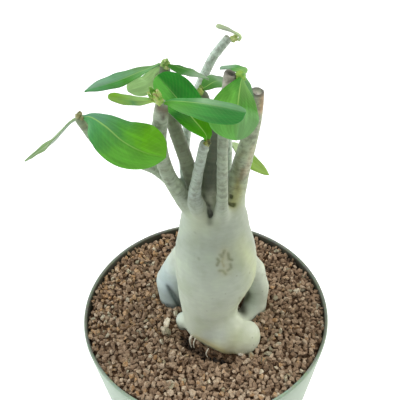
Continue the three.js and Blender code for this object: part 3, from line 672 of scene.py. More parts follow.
def waxy_bark():
    """Young adenium bark: smooth and waxy on the caudex, finely ringed and scarred on the branches."""
    material, output = new_material("waxy_bark")
    place = add_node(material, "TexCoord").outputs["Object"]
    tint = add_node(material, "Attribute", attribute_name="bark_tint").outputs["Color"]
    twig = add_node(material, "Attribute", attribute_name="twig").outputs["Fac"]
    along = add_node(material, "Attribute", attribute_name="along").outputs["Fac"]
    # Clouds 12 mm across where the wax is thicker
    clouds = add_node(material, "TexNoise", {"Vector": place, "Scale": 80, "Detail": 4})
    cloudy = add_node(material, "ValToRGB", {"Fac": clouds}, stops=[
        (0.32, "#9a9f88"), (0.5, "#bcbcbc"), (0.7, "#d2dac8"),
    ])
    waxed = add_node(material, "MixRGB", {"Fac": 0.3, "Color1": tint, "Color2": cloudy}, blend_type="OVERLAY")
    # Lenticels 1.5 mm wide and some 7 mm apart
    lenticels = add_node(material, "TexVoronoi", {"Vector": place, "Scale": 150})
    dots = add_node(material, "ValToRGB", {"Fac": lenticels}, stops=[(0.04, "#ffffff"), (0.11, "#000000")])
    faint_dots = add_node(material, "Math", {0: dots, 1: 0.4}, operation="MULTIPLY")
    specked = add_node(material, "MixRGB", {"Fac": faint_dots, "Color1": waxed, "Color2": linear("#6f6f58")})
    # Faint folds across the bark, 5 mm long and a third as high
    flattened = add_node(material, "VectorMath", {0: place, 1: (1, 1, 3.2)}, operation="MULTIPLY")
    folds = add_node(material, "TexNoise", {"Vector": flattened, "Scale": 190, "Detail": 5})
    folded = add_node(material, "ValToRGB", {"Fac": folds}, stops=[
        (0.3, "#8c9080"), (0.5, "#bcbcbc"), (0.68, "#e2e4d6"),
    ])
    uneven = add_node(material, "MixRGB", {
        "Fac": 0.08, "Color1": specked, "Color2": folded,
    }, blend_type="OVERLAY")
    # Rings where the branch grew, drawn 2 mm apart, which is as close as they show
    ring_place = add_node(material, "Math", {0: along, 1: 0.5}, operation="MULTIPLY")
    rings = add_node(material, "TexNoise", {"W": ring_place, "Scale": 1, "Detail": 3}, noise_dimensions="1D")
    ringed = add_node(material, "ValToRGB", {"Fac": rings}, stops=[
        (0.36, "#85857a"), (0.5, "#bcbcbc"), (0.66, "#d8d8ce"),
    ])
    on_twigs = add_node(material, "Math", {0: twig, 1: 0.25}, operation="MULTIPLY")
    banded = add_node(material, "MixRGB", {
        "Fac": on_twigs, "Color1": uneven, "Color2": ringed,
    }, blend_type="OVERLAY")
    # Weathered flecks of about 2.4 mm, on the branches only
    flecks = add_node(material, "TexNoise", {
        "Vector": place, "Scale": 420, "Detail": 4, "Roughness": 0.65,
    })
    fleck = add_node(material, "ValToRGB", {"Fac": flecks}, stops=[(0.36, "#ffffff"), (0.54, "#000000")])
    twig_flecks = add_node(material, "Math", {0: fleck, 1: twig}, operation="MULTIPLY")
    faint_flecks = add_node(material, "Math", {0: twig_flecks, 1: 0.5}, operation="MULTIPLY")
    weathered = add_node(material, "MixRGB", {
        "Fac": faint_flecks, "Color1": banded, "Color2": linear("#5d5e4a"),
    })
    # In relief, the skin's own grain of 0.7 mm, then the folds and the rings
    grain = add_node(material, "TexNoise", {"Vector": place, "Scale": 1400, "Detail": 3})
    grained_skin = add_node(material, "Bump", {"Height": grain, "Strength": 0.25, "Distance": 0.0003})
    folded_skin = add_node(material, "Bump", {
        "Height": folds, "Strength": 0.07, "Distance": 0.0012, "Normal": grained_skin,
    })
    ringed_skin = add_node(material, "Bump", {
        "Height": rings, "Strength": on_twigs, "Distance": 0.001, "Normal": folded_skin,
    })
    bark = add_node(material, "BsdfPrincipled", {
        "Base Color": weathered, "Roughness": 0.58, "IOR": 1.42, "Normal": ringed_skin,
    })
    return finish_surface(material, output, bark)


def store(piece, name, kind, values, domain="POINT"):
    """Keeps a value for each vertex or face of a piece, for its material to read."""
    attribute = piece.data.attributes.new(name, kind, domain)
    field_name = "color" if kind == "FLOAT_COLOR" else "value"
    attribute.data.foreach_set(field_name, np.asarray(values, np.float32).ravel())


def make_caudex(field):
    points, quads = skin(field)
    points = relaxed(points, quads, field, 4)
    along, twig, branch_colours = branch_coordinates(points)
    swellings = sum(depth * ripple(points, size, seed) for depth, size, seed in BARK_SWELLINGS)
    # Knots are only the crests of their ripple, and longer round the branch than along it
    knot_height, knot_size, knot_seed = KNOTS
    knots = knot_height * np.maximum(ripple(points * [1, 1, 1.6], knot_size, knot_seed) - 0.55, 0)
    bare = np.clip((points[:, 2] - RELIEF_LOW) / (RELIEF_HIGH - RELIEF_LOW), 0, 1)
    relief = (swellings * (1 - 0.5 * twig) + knots * twig) * bare
    points = points + slope(field, points) * relief[:, None]
    caudex = mesh_piece("living_caudex", points, quads.tolist(), [waxy_bark()])
    store(caudex, "bark_tint", "FLOAT_COLOR", bark_colours(points, twig, branch_colours))
    store(caudex, "twig", "FLOAT", twig)
    store(caudex, "along", "FLOAT", along)
    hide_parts("caudex")


caudex_distances = caudex_field()
make_caudex(caudex_distances)


# Rootlets. Four fine roots in the gap under the lifted foot. They grew from the caudex while it was buried,
# and died back to dry straw-coloured fibre when it was planted higher. The first and the third start inside
# the bark, and the other two end short of it.

ROOTLETS = [  # x, y, z and radius
    [[-8.4, -23.4, 117, 0.9], [-9.6, -24.8, 114.6, 0.8], [-9.6, -25.6, 112.2, 0.4], [-9, -27, 109.6, 0.3]],
    [[-6.4, -25.4, 116.6, 0.45], [-7.6, -27.4, 114.8, 0.35], [-7.4, -28.6, 111.6, 0.3]],
    [[18.2, -34, 112.8, 0.9], [19.4, -34.9, 113, 1.2], [20.8, -35.2, 113, 0.8]],
    [[1, -31, 114, 0.4], [-0.6, -33, 112, 0.3], [0.4, -34, 109.4, 0.25]],
]


def round_stem(rows, around, off_axis):
    """A round stem along rows of x, y, z, radius, closed with a point at each end. Its rings start at right
    angles to off_axis, a direction that the stem never runs in."""
    tangent = np.gradient(rows[:, :3], axis=0)
    tangent /= np.linalg.norm(tangent, axis=1, keepdims=True)
    side = np.cross(tangent, off_axis)
    side /= np.linalg.norm(side, axis=1, keepdims=True)
    other = np.cross(tangent, side)
    angle = np.linspace(0, 2 * math.pi, around, endpoint=False)[None, :, None]
    ring = np.cos(angle) * side[:, None] + np.sin(angle) * other[:, None]
    stem = (rows[:, None, :3] + rows[:, None, 3:4] * ring).reshape(-1, 3)
    vertices = np.vstack([stem, rows[0, :3], rows[-1, :3]])
    return vertices, tube_faces(len(rows), around, len(stem), len(stem) + 1)


def dead_root():
    """Dried root: pale straw, matt and finely fibrous."""
    material, output = new_material("dead_root")
    place = add_node(material, "TexCoord").outputs["Object"]
    # Fibres 0.7 mm across
    fibres = add_node(material, "TexNoise", {"Vector": place, "Scale": 1500, "Detail": 3})
    tone = add_node(material, "ValToRGB", {"Fac": fibres}, stops=[(0.35, "#a89f88"), (0.65, "#e0dccb")])
    root = add_node(material, "BsdfPrincipled", {"Base Color": tone, "Roughness": 0.8})
    return finish_surface(material, output, root)


def make_rootlets():
    straw = dead_root()
    for i, chain in enumerate(ROOTLETS):
        vertices, faces = round_stem(curve_through(chain, 0.6), 10, [0.9, 0.1, 0.3])
        mesh_piece(f"rootlet_{i + 1}", vertices, faces, [straw])


make_rootlets()


# Gravel. Crushed lava (scoria) of about 3 to 5 mm, poured over the mix as a topping. It is broken stone with
# flat breaks and small pits, mostly brown to beige, with rusty, grey and a few pale grains. The grains are
# painted paler towards the front as painted light, and near black under the lifted foot as painted shadow.
# Two layers of grains lie on a bed of lava fines.

GRAVEL_LEVEL = 113.3
MOUND = 0.4  # how much higher it lies round the plant
MOUND_REACH = 42
TILT = -0.012  # the topping lies a little higher at the front
HOLLOW = [  # left under the lifted side of the foot
    [-12.5, -20, 0], [-9, -26.5, 0], [-1.5, -32, 0], [7, -35.5, 0], [13, -37, 0],
]
HOLLOW_REACH = 4.6
HOLLOW_DEPTH = 6.5
TOP_DROP = 1  # how far under the level the middle of each layer lies
LOWER_DROP = 2.7
FINES_DROP = 4.6
BED_FOOT = SOIL_TOP + 0.3
LAYER_UNEVENNESS = 0.7
GRAIN_SPACING = 3.2
GRAIN_HALF_LENGTHS = (1.55, 2.5)
GRAIN_STRETCH = ([0.8, 0.65, 0.55], [1.3, 1.05, 0.9])  # the least and most along its three axes
BROWNS = (0.02, 0.68)  # parts of the range of shades, from near black to white
RUSTY = (0.69, 0.75)
GREYS = (0.78, 0.88)
STONE_SHAPES = 60
PALE_STONES = [  # x, y, half length and shade
    [-23.6, -11.8, 3.7, 0.9],
    [-24.9, -17.8, 3.5, 0.87],
    [-18.6, -4.8, 2.5, 0.84],
]


def gravel_level(x, y):
    """The height of the topping at a place, as poured."""
    from_plant = np.hypot(x - 4, y + 6) / MOUND_REACH
    flat = np.stack([np.ravel(x), np.ravel(y), np.zeros(np.size(x))], 1)
    from_hollow = line_distance(flat, HOLLOW).reshape(np.shape(x)) / HOLLOW_REACH
    mound = MOUND * np.exp(-(from_plant**2)) - HOLLOW_DEPTH * np.exp(-(from_hollow**2))
    return GRAVEL_LEVEL + TILT * np.asarray(y) + mound


def crushed_shapes(draw):
    """Broken stones of unit size, each the hull of a few random places, so it has flat breaks and edges."""
    shapes = []
    for _ in range(STONE_SHAPES):
        stone = bmesh.new()
        places = draw.normal(size=(13, 3))
        places *= draw.uniform(0.78, 1.05, (13, 1)) / np.linalg.norm(places, axis=1, keepdims=True)
        for place in places:
            stone.verts.new(place)
        hull = bmesh.ops.convex_hull(stone, input=stone.verts)
        bmesh.ops.delete(stone, geom=hull["geom_interior"], context="VERTS")
        bmesh.ops.recalc_face_normals(stone, faces=stone.faces)
        stone.verts.index_update()
        faces = [[v.index for v in face.verts] for face in stone.faces]
        shapes.append((np.array([v.co for v in stone.verts]), np.array(faces)))
        stone.free()
    return shapes


def random_turns(draw, count):
    """Random rotation matrices."""
    turns, _ = np.linalg.qr(draw.normal(size=(count, 3, 3)))
    return turns * np.sign(np.linalg.det(turns))[:, None, None]


def lattice(draw, spacing, reach):
    """Loose triangular packing of places across the pot."""
    rows = np.arange(-reach, reach, spacing * math.sqrt(3) / 2)
    x, y = np.meshgrid(np.arange(-reach, reach, spacing), rows)
    x = x + np.where(np.arange(len(rows)) % 2, spacing / 2, 0)[:, None]
    places = np.stack([x.ravel(), y.ravel()], 1)
    return places + draw.uniform(-0.36, 0.36, places.shape) * spacing


def lava_stone():
    """Scoria: rough, pitted and matt. Each grain has its own shade of the iron in it, and some are painted
    paler or darker as painted light and shadow.
    """
    material, output = new_material("crushed_lava")
    place = add_node(material, "TexCoord").outputs["Object"]
    shade = add_node(material, "Attribute", attribute_name="shade").outputs["Fac"]
    # The darkest stop, near black, serves mostly the grains painted dark as painted shadow under the foot
    iron = add_node(material, "ValToRGB", {"Fac": shade}, stops=[
        (0, "#241b12"), (0.12, "#7f664e"), (0.32, "#997f66"), (0.5, "#ae967c"), (0.64, "#c1ae95"),
        (0.73, "#ae865b"), (0.8, "#979278"), (0.88, "#d1c5ad"), (1, "#eeead6"),
    ])
    # Pits of about 0.9 mm where gas was trapped
    pits = add_node(material, "TexNoise", {"Vector": place, "Scale": 1100, "Detail": 3})
    pitted = add_node(material, "ValToRGB", {"Fac": pits}, stops=[(0.35, "#7a7a7a"), (0.6, "#cfcfcf")])
    tone = add_node(material, "MixRGB", {"Fac": 0.5, "Color1": iron, "Color2": pitted}, blend_type="OVERLAY")
    bump = add_node(material, "Bump", {"Height": pits, "Strength": 0.8, "Distance": 0.0006})
    stone = add_node(material, "BsdfPrincipled", {"Base Color": tone, "Roughness": 0.9, "Normal": bump})
    return finish_surface(material, output, stone)


def lava_fines():
    """Dust and crumbs of the same stone, a little over a millimetre across and darker than the grains."""
    material, output = new_material("lava_fines")
    place = add_node(material, "TexCoord").outputs["Object"]
    crumbs = add_node(material, "TexNoise", {"Vector": place, "Scale": 900, "Detail": 4})
    tone = add_node(material, "ValToRGB", {"Fac": crumbs}, stops=[(0.35, "#543c28"), (0.65, "#8a6a4c")])
    bump = add_node(material, "Bump", {"Height": crumbs, "Strength": 0.8, "Distance": 0.001})
    dust = add_node(material, "BsdfPrincipled", {"Base Color": tone, "Roughness": 0.95, "Normal": bump})
    return finish_surface(material, output, dust)


def shades(draw, places):
    """Each grain's shade: mostly brown, painted paler towards the front as painted light, rustier at the back
    left, some grey, and painted dark under the lifted foot as painted shadow."""
    # Painted light: the grains are made paler towards the front
    brown = draw.beta(2.4, 2.2, len(places)) * BROWNS[1] - 0.0016 * places[:, 1]
    shade = np.clip(brown, *BROWNS)
    rare = draw.uniform(0, 1, len(places))
    to_back_left = np.clip((-places[:, 0] + places[:, 1]) / 90, 0, 1)
    rusty = rare < 0.04 + 0.3 * to_back_left
    shade[rusty] = draw.uniform(*RUSTY, rusty.sum())
    grey = rare > 0.95
    shade[grey] = draw.uniform(*GREYS, grey.sum())
    # Painted shadow: the grains under the lifted foot are darkened towards black
    flat = np.column_stack([places, np.zeros(len(places))])
    foot_shadow = np.exp(-((line_distance(flat, HOLLOW) / HOLLOW_REACH) ** 2))
    return shade * (1 - foot_shadow)


def make_grains(name, field, material, seed, drop, with_pale):
    """One layer of loose grains, clear of the plant and held in by the wall."""
    draw = np.random.default_rng(seed)
    places = lattice(draw, GRAIN_SPACING, POT_RADIUS)
    half = draw.uniform(*GRAIN_HALF_LENGTHS, len(places))
    uneven = draw.uniform(-LAYER_UNEVENNESS, LAYER_UNEVENNESS, len(places))
    height = gravel_level(*places.T) - drop + uneven
    centres = np.column_stack([places, height])
    # A grain's middle stays clear of the wall and the bark, but its edge may sink in, so that no gap is left
    keep = np.hypot(*places.T) < inner_radius(height) - 0.25 * half
    keep &= sampled(field, centres) > 0.6 * half
    shade = shades(draw, places)
    if with_pale:
        for x, y, size, _ in PALE_STONES:
            keep &= np.hypot(places[:, 0] - x, places[:, 1] - y) > size + 0.8
    centres, half, shade = centres[keep], half[keep], shade[keep]
    if with_pale:
        for x, y, size, tone in PALE_STONES:
            centres = np.vstack([centres, [x, y, gravel_level(x, y) + 0.2 * size]])
            half, shade = np.append(half, size), np.append(shade, tone)
    shapes = crushed_shapes(draw)
    turns = random_turns(draw, len(centres))
    vertices, faces, facet_shades = [], [], []
    count = 0
    for centre, size, turn, tone in zip(centres, half, turns, shade):
        unit, triangles = shapes[draw.integers(STONE_SHAPES)]
        stretched = unit * draw.uniform(*GRAIN_STRETCH) * size
        placed = stretched @ turn + centre
        # What would stick through the wall is pushed back into it
        past_wall = np.hypot(placed[:, 0], placed[:, 1]) / (inner_radius(placed[:, 2]) + 0.3)
        placed[:, :2] /= np.maximum(past_wall, 1)[:, None]
        vertices.append(placed)
        faces.append(triangles + count)
        facet_shades.append(tone + draw.uniform(-0.05, 0.05, len(triangles)))
        count += len(unit)
    faces = np.vstack(faces).tolist()
    grains = mesh_piece(name, np.vstack(vertices), faces, [material], smooth=False)
    store(grains, "shade", "FLOAT", np.concatenate(facet_shades), "FACE")
    return grains


def make_fines():
    """The bed under the grains: a low uneven sheet with a skirt, which reaches the wall all round."""
    rings, around = 46, 150
    radius = np.linspace(0, 1, rings + 1)[1:, None]
    angle = np.linspace(0, 2 * math.pi, around, endpoint=False)[None]
    edge = inner_radius(GRAVEL_LEVEL - 4) - 0.4
    x = (edge * radius * np.cos(angle)).ravel()
    y = (edge * radius * np.sin(angle)).ravel()
    flat = np.column_stack([x, y, np.zeros(len(x))])
    top = gravel_level(x, y) - FINES_DROP + 0.5 * ripple(flat, 7, 8)
    vertices = np.column_stack([x, y, top]).tolist()
    vertices += [[px, py, BED_FOOT] for px, py in zip(x[-around:], y[-around:])]
    middle, rim = len(vertices), (rings - 1) * around
    vertices += [[0, 0, float(gravel_level(0, 0)) - FINES_DROP], [0, 0, BED_FOOT]]
    faces = []
    for k in range(around):
        n = (k + 1) % around
        faces.append((middle, k, n))
        for a in range(0, rim + around, around):
            faces.append((a + k, a + around + k, a + around + n, a + n))
        faces.append((rim + around + k, middle + 1, rim + around + n))
    return mesh_piece("fines_bed", vertices, faces, [lava_fines()])


def make_gravel(field):
    stone = lava_stone()
    top = make_grains("lava_top_layer", field, stone, seed=11, drop=TOP_DROP, with_pale=True)
    lower = make_grains("lava_lower_layer", field, stone, seed=12, drop=LOWER_DROP, with_pale=False)
    bed = make_fines()
    for piece in (top, lower, bed):
        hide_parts("gravel")


make_gravel(caudex_distances)


# Leaves. Fourteen leathery blades on very short stalks, most broad near the tip. Each is about a
# millimetre thick at the midrib, which is sunk above and raised below, and thins to a slightly wavy edge.

LEAF_THICKNESS = 0.95  # at the midrib
STALK = 0.75  # half its width
STALK_REACH = 2.2  # how soon it passes into the blade
LEAF_FOLD = 0.22  # how steeply the halves rise from the midrib
FOLD_ROUNDING = 0.3
CURL = 0.125  # how far they bend down again to the edge
EDGE_WAVE = 0.045
EDGE_THINNING = 0.62
RIB_HALF_WIDTH = 0.55
RIB_SUNK = 0.22  # above
RIB_RAISED = 0.4  # below
PALE_RIB = "#a3cb6c"
PALE_RIB_BELOW = "#c2d6a8"
# Each blade's form, its colours at the stalk, half way, at the tip and underneath, those of the half beyond
# its midrib where they differ, painted lighter or darker as painted sheen and shade, and its roughness
LEAVES = {
    "leaf_far_left": dict(
        midrib=[
            [-54.7, -8, 257.4], [-57.1, -8, 256.4], [-63, -6.5, 250.1],
            [-69.4, -5, 243], [-84.5, -4, 232.2],
        ],
        half_width=5.6, widest=0.6, blunt=1, lean=0, face=[-0.42, 0.12, 0.84],
        colours=("#88a274", "#6d8952", "#658647", "#95ab94"), roughness=0.42,
    ),
    "leaf_left_large": dict(
        midrib=[
            [-51.9, -8.9, 258.6], [-48.2, -10.5, 259.7], [-41.4, -15, 257.6],
            [-33.8, -19.5, 252.2], [-24.7, -23.5, 248.8], [-15.2, -26, 247.3],
        ],
        half_width=11.9, widest=0.63, blunt=0.6, lean=0.06, skew=0.15, face=[0.1, -0.94, 0.32],
        colours=("#47924e", "#5ba338", "#5da52f", "#9fbf84"),
        painted_light_half=("#5f966f", "#4c8f3b", "#5da313"), roughness=0.42,
    ),
    "leaf_high_left": dict(
        midrib=[[-17.3, 13, 271.8], [-26.5, 9.5, 269.9], [-36.1, 4, 268.6], [-50.6, -2, 267.4]],
        half_width=5, widest=0.58, blunt=1, lean=-0.1, face=[-0.1, -0.2, 0.95],
        colours=("#679456", "#659b6f", "#749f7f", "#8fb682"),
        painted_light_half=("#6fa067", "#3a811c", "#4f9257"), roughness=0.37,
    ),
    "leaf_high_behind": dict(
        midrib=[[-16.4, 14, 269.4], [-18.6, 14.5, 268.2], [-23.9, 18, 259.7], [-34.5, 20, 254.9]],
        half_width=5.6, widest=0.62, blunt=0.45, lean=0, face=[-0.3, 0.85, -0.1],
        colours=("#4f9a3c", "#4f9a3c", "#4f9a3c", "#a3ca83"), roughness=0.52,
    ),
    "leaf_middle_large": dict(
        midrib=[
            [2.2, -20.2, 251.5], [2.6, -20, 253.5], [-3.8, -13.5, 259.8],
            [-9.5, -6.5, 264.6], [-18.3, 2, 271.7],
        ],
        half_width=8.1, widest=0.62, blunt=0.45, lean=-0.14, face=[0.2, -0.8, 0.55],
        colours=("#4b9607", "#0f7807", "#0f7607", "#9fbf84"),
        painted_light_half=("#4a9c07", "#106707", "#54a635"), roughness=0.34,
    ),
    "leaf_high_right": dict(
        midrib=[[-13.2, 12, 271.7], [-4.6, 9, 270.2], [4.7, 3, 268.8]],
        half_width=4.4, widest=0.4, blunt=1, lean=-0.5, face=[0.25, 0.05, 0.95],
        colours=("#2a6a12", "#37752e", "#849f7f", "#a3be92"),
        painted_light_half=("#296819", "#4f7e45", "#81997b"), roughness=0.47,
    ),
    "leaf_front_long": dict(
        midrib=[
            [-15.3, -16.3, 268.4], [-13.1, -17, 269.6], [-1.8, -23, 272],
            [8.2, -28, 272.7], [18.4, -31, 271.4],
        ],
        half_width=5.4, widest=0.7, blunt=0.33, lean=-0.5, face=[0, -0.42, 0.9],
        colours=("#579e39", "#438d39", "#2b7c2d", "#8fb682"),
        painted_light_half=("#499a47", "#88b082", "#6a9d6a"), roughness=0.37,
    ),
    "leaf_front_narrow": dict(
        midrib=[
            [-17.3, -17, 270.3], [-18.9, -18, 270.9], [-26.1, -20.5, 272.3],
            [-31.3, -23, 274.8], [-36.5, -25, 277.2],
        ],
        half_width=3.2, widest=0.68, blunt=0.4, lean=0, face=[-0.1, -0.3, 0.95],
        colours=("#9fcc76", "#7da657", "#71a424", "#8fae6a"),
        painted_light_half=("#95b45a", "#53864f", "#78a442"), roughness=0.47,
    ),
    "leaf_centre": dict(
        midrib=[[1.5, 4, 262.8], [7.3, 11, 262.6], [14.3, 19, 259]],
        half_width=5.6, widest=0.6, blunt=0.5, lean=0, face=[-0.3, -0.5, 0.8],
        colours=("#45812f", "#59874d", "#7b9679", "#a3be92"), roughness=0.52,
    ),
    "leaf_right_large": dict(
        midrib=[
            [18.3, -8.6, 275.2], [17.9, -10.5, 275], [16.4, -17, 270.2],
            [15.1, -23.5, 262.6], [14.8, -28, 256.3],
        ],
        half_width=11.2, widest=0.66, blunt=0.62, lean=-0.14, face=[0.3, -0.72, 0.6],
        colours=("#2b7c07", "#5fa239", "#6aaf52", "#a9c894"),
        painted_light_half=("#679749", "#529338", "#75a667"), roughness=0.47,
    ),
    "leaf_right_dark": dict(
        midrib=[[19.2, -6.6, 274], [19.4, -3, 270.8], [21.4, 0, 263.5], [23.8, 1.6, 254]],
        half_width=3.3, widest=0.62, blunt=0.5, lean=0, face=[0.4, -0.7, 0.5],
        colours=("#4c8a3a", "#4a8440", "#4c7a48", "#9fbf84"), roughness=0.47,
    ),
    "leaf_rear": dict(
        midrib=[[15.1, 9.8, 229.5], [24, 12.5, 217.5], [36, 12, 206.3]],
        half_width=5, widest=0.5, blunt=0.85, lean=0, face=[0.5, -0.3, 0.6],
        colours=("#98b17e", "#659117", "#749631", "#b5cf9a"), roughness=0.47,
    ),
    "leaf_curled": dict(
        midrib=[[19.2, -7.2, 275.8], [19, -4.6, 276], [14.5, -0.8, 275.7], [9.3, -1, 275.9]],
        half_width=3.7, widest=0.55, blunt=0.6, lean=0, face=[-0.1, 0.2, 0.95],
        # The underside is painted dark green as painted shade, where the leaf curls over the front branch's
        # tip
        colours=("#7fae62", "#4f8f45", "#87a88a", "#3f6f30"), roughness=0.42,
    ),
    "leaf_twig": dict(
        midrib=[[19.5, 26, 276.1], [20.4, 26, 278], [14.8, 27, 281.2], [9.1, 28, 282.9]],
        half_width=1.8, widest=0.84, blunt=0.4, lean=0, face=[0.3, -0.2, 0.9],
        colours=("#bace98", "#a5b19b", "#adbf96", "#a9c08f"), roughness=0.47,
    ),
}


def blade(midrib, half_width, widest, blunt, lean, face, rows, columns, seed, skew=0):
    """A leaf as two grids joined round the edge: vertices, faces, each face's side, and the place along and
    across the leaf of each vertex."""
    curve = curve_through(midrib, 0.3)
    reached = np.append(0, np.cumsum(np.linalg.norm(np.diff(curve, axis=0), axis=1)))
    u = 1 - (1 - np.linspace(0, 1, rows + 1)) ** 1.35  # closer rows towards the tip
    centre = np.stack([np.interp(u * reached[-1], reached, curve[:, i]) for i in range(3)], 1)
    tangent = np.gradient(centre, u * reached[-1], axis=0)
    tangent /= np.linalg.norm(tangent, axis=1, keepdims=True)
    side = np.cross(np.array(face, float), tangent)
    side /= np.linalg.norm(side, axis=1, keepdims=True)
    normal = np.cross(tangent, side)
    tip = np.clip((u - 0.9) / 0.1, 0, 1)
    power = blunt / (1 - widest)
    halves = []
    for broadest in (widest - skew, widest + skew):
        form = (u**broadest * (1 - u) ** (1 - broadest)) ** power
        peak = (broadest**broadest * (1 - broadest) ** (1 - broadest)) ** power
        halves.append(np.maximum(half_width * form / peak, STALK * (1 - 0.75 * tip))[:, None])
    part = np.sin(np.linspace(-math.pi / 2, math.pi / 2, columns + 1))[None]
    width = np.where(part < 0, halves[0], halves[1])
    across = width * part * (1 + lean * np.sign(part))
    fold = LEAF_FOLD * (np.sqrt(across**2 + FOLD_ROUNDING) - math.sqrt(FOLD_ROUNDING))
    fold = fold - CURL * across**2 / half_width
    draw = np.random.default_rng(seed)
    phase, count = draw.uniform(0, 6.28, 2), draw.uniform(2.2, 3.6)
    beat = 2 * math.pi * count * u[:, None]
    wave = np.where(part > 0, np.sin(beat + phase[0]), np.sin(beat + phase[1]))
    fold = fold + EDGE_WAVE * half_width * wave * np.abs(part) ** 2.5 * (width / half_width)
    stalk = np.exp(-u[:, None] * reached[-1] / STALK_REACH)
    rib = np.exp(-((across / RIB_HALF_WIDTH) ** 2)) * (1 - 0.75 * u[:, None])
    half = 0.5 * LEAF_THICKNESS * (1 - EDGE_THINNING * np.abs(part) ** 3) * (1 + 0.35 * stalk)
    over = fold + half - RIB_SUNK * rib * (1 - stalk)
    under = fold - half - RIB_RAISED * rib
    at = centre[:, None] + across[..., None] * side[:, None]
    upper = at + over[..., None] * normal[:, None]
    lower = at + under[..., None] * normal[:, None]
    vertices = np.vstack([upper.reshape(-1, 3), lower.reshape(-1, 3)])

    wide = columns + 1
    cell = (np.arange(rows)[:, None] * wide + np.arange(columns)[None]).ravel()
    top = np.stack([cell, cell + wide, cell + wide + 1, cell + 1], 1)
    below = len(vertices) // 2
    bottom = top[:, ::-1] + below
    left = np.arange(rows) * wide
    right = left + columns
    ends = np.arange(columns)
    last = rows * wide + ends
    strips = [
        np.stack([left + wide, left, left + below, left + wide + below], 1),
        np.stack([right, right + wide, right + wide + below, right + below], 1),
        np.stack([ends, ends + 1, ends + 1 + below, ends + below], 1),
        np.stack([last + 1, last, last + below, last + 1 + below], 1),
    ]
    faces = np.vstack([top, bottom, *strips])
    sides = np.zeros(len(faces), int)
    sides[len(top):2 * len(top)] = 1
    along = np.tile(np.repeat(u, wide), 2)
    over_width = np.tile(np.tile((part.ravel() + 1) / 2, rows + 1), 2)
    return vertices, faces, sides, along, over_width


def leaf_skin(name, halves, rib_colour, roughness, rib_strength):
    """Leaf cuticle: a thin wax over green flesh, smooth and lightly glossy, with paler veins. The two halves
    beside the midrib are painted in different colours as painted sheen and shade, as one half catches more
    light than the other."""
    material, output = new_material(name)
    place = add_node(material, "TexCoord").outputs
    uv = add_node(material, "SeparateXYZ", {"Vector": place["UV"]}).outputs
    u, v = uv["X"], uv["Y"]
    # Blotches 9 mm across, which also let one tone wander into the next
    blotches = add_node(material, "TexNoise", {"Vector": place["Object"], "Scale": 110, "Detail": 3})
    wander = add_node(material, "Math", {0: blotches, 1: 0.5, 2: u}, operation="MULTIPLY_ADD")
    # Painted sheen and shade: each half beside the midrib has its own ramp of colours
    one_half, painted_light_half = [
        add_node(material, "ValToRGB", {"Fac": wander}, stops=list(zip((0.42, 0.75, 1), colours)))
        for colours in halves
    ]
    past_rib = add_node(material, "MapRange", {"Value": v, "From Min": 0.42, "From Max": 0.58})
    flesh_with_painted_light = add_node(material, "MixRGB", {"Fac": past_rib, "Color1": one_half, "Color2": painted_light_half})
    uneven = add_node(material, "ValToRGB", {"Fac": blotches}, stops=[(0.3, "#9b9b9b"), (0.7, "#dcdcdc")])
    varied = add_node(material, "MixRGB", {
        "Fac": 0.35, "Color1": flesh_with_painted_light, "Color2": uneven,
    }, blend_type="OVERLAY")
    # Faint pale streaks run along the blade, where the wax has rubbed
    stretched = add_node(material, "VectorMath", {0: place["UV"], 1: (2, 16, 1)}, operation="MULTIPLY")
    streaks = add_node(material, "TexNoise", {"Vector": stretched, "Scale": 1, "Detail": 4})
    streak = add_node(material, "ValToRGB", {"Fac": streaks}, stops=[
        (0.35, "#8f8f8f"), (0.5, "#bcbcbc"), (0.68, "#e6efe9"),
    ])
    streaked = add_node(material, "MixRGB", {
        "Fac": 0.3, "Color1": varied, "Color2": streak,
    }, blend_type="OVERLAY")
    # Side veins leave the midrib forwards, about 2 mm apart
    off_middle = add_node(material, "Math", {0: v, 1: 0.5}, operation="SUBTRACT")
    off_rib = add_node(material, "Math", {0: off_middle}, operation="ABSOLUTE")
    slant = add_node(material, "Math", {0: off_rib, 1: -0.55, 2: u}, operation="MULTIPLY_ADD")
    beat = add_node(material, "Math", {0: slant, 1: 110}, operation="MULTIPLY")
    swing = add_node(material, "Math", {0: beat}, operation="SINE")
    veins = add_node(material, "Math", {0: swing, 1: 0.5, 2: 0.5}, operation="MULTIPLY_ADD")
    sharp = add_node(material, "Math", {0: veins, 1: 6}, operation="POWER")
    faint = add_node(material, "Math", {0: sharp, 1: 0.04}, operation="MULTIPLY")
    veined = add_node(material, "MixRGB", {"Fac": faint, "Color1": streaked, "Color2": linear(rib_colour)})
    # The midrib is a pale line that narrows and fades to the tip
    rib_edge = add_node(material, "MapRange", {
        "Value": u, "From Max": 0.55, "To Min": 0.045, "To Max": 0.015,
    })
    rib = add_node(material, "MapRange", {
        "Value": off_rib, "From Min": 0.005, "From Max": rib_edge, "To Min": 1, "To Max": 0,
    })
    fade = add_node(material, "MapRange", {
        "Value": u, "From Min": 0.3, "From Max": 0.85, "To Min": rib_strength, "To Max": 0.12,
    })
    rib_amount = add_node(material, "Math", {0: rib, 1: fade}, operation="MULTIPLY")
    ribbed = add_node(material, "MixRGB", {
        "Fac": rib_amount, "Color1": veined, "Color2": linear(rib_colour),
    })
    bump = add_node(material, "Bump", {"Height": sharp, "Strength": 0.12, "Distance": 0.0002})
    leaf = add_node(material, "BsdfPrincipled", {
        "Base Color": ribbed, "Roughness": roughness, "IOR": 1.42, "Specular IOR Level": 0.3, "Normal": bump,
    })
    return finish_surface(material, output, leaf)


def store_uv(piece, along, across):
    """Lays the leaf's length and width out as its UV map."""
    corners = np.zeros(len(piece.data.loops), int)
    piece.data.loops.foreach_get("vertex_index", corners)
    layer = piece.data.uv_layers.new(name="leaf")
    places = np.column_stack([along[corners], across[corners]])
    layer.data.foreach_set("uv", places.astype(np.float32).ravel())


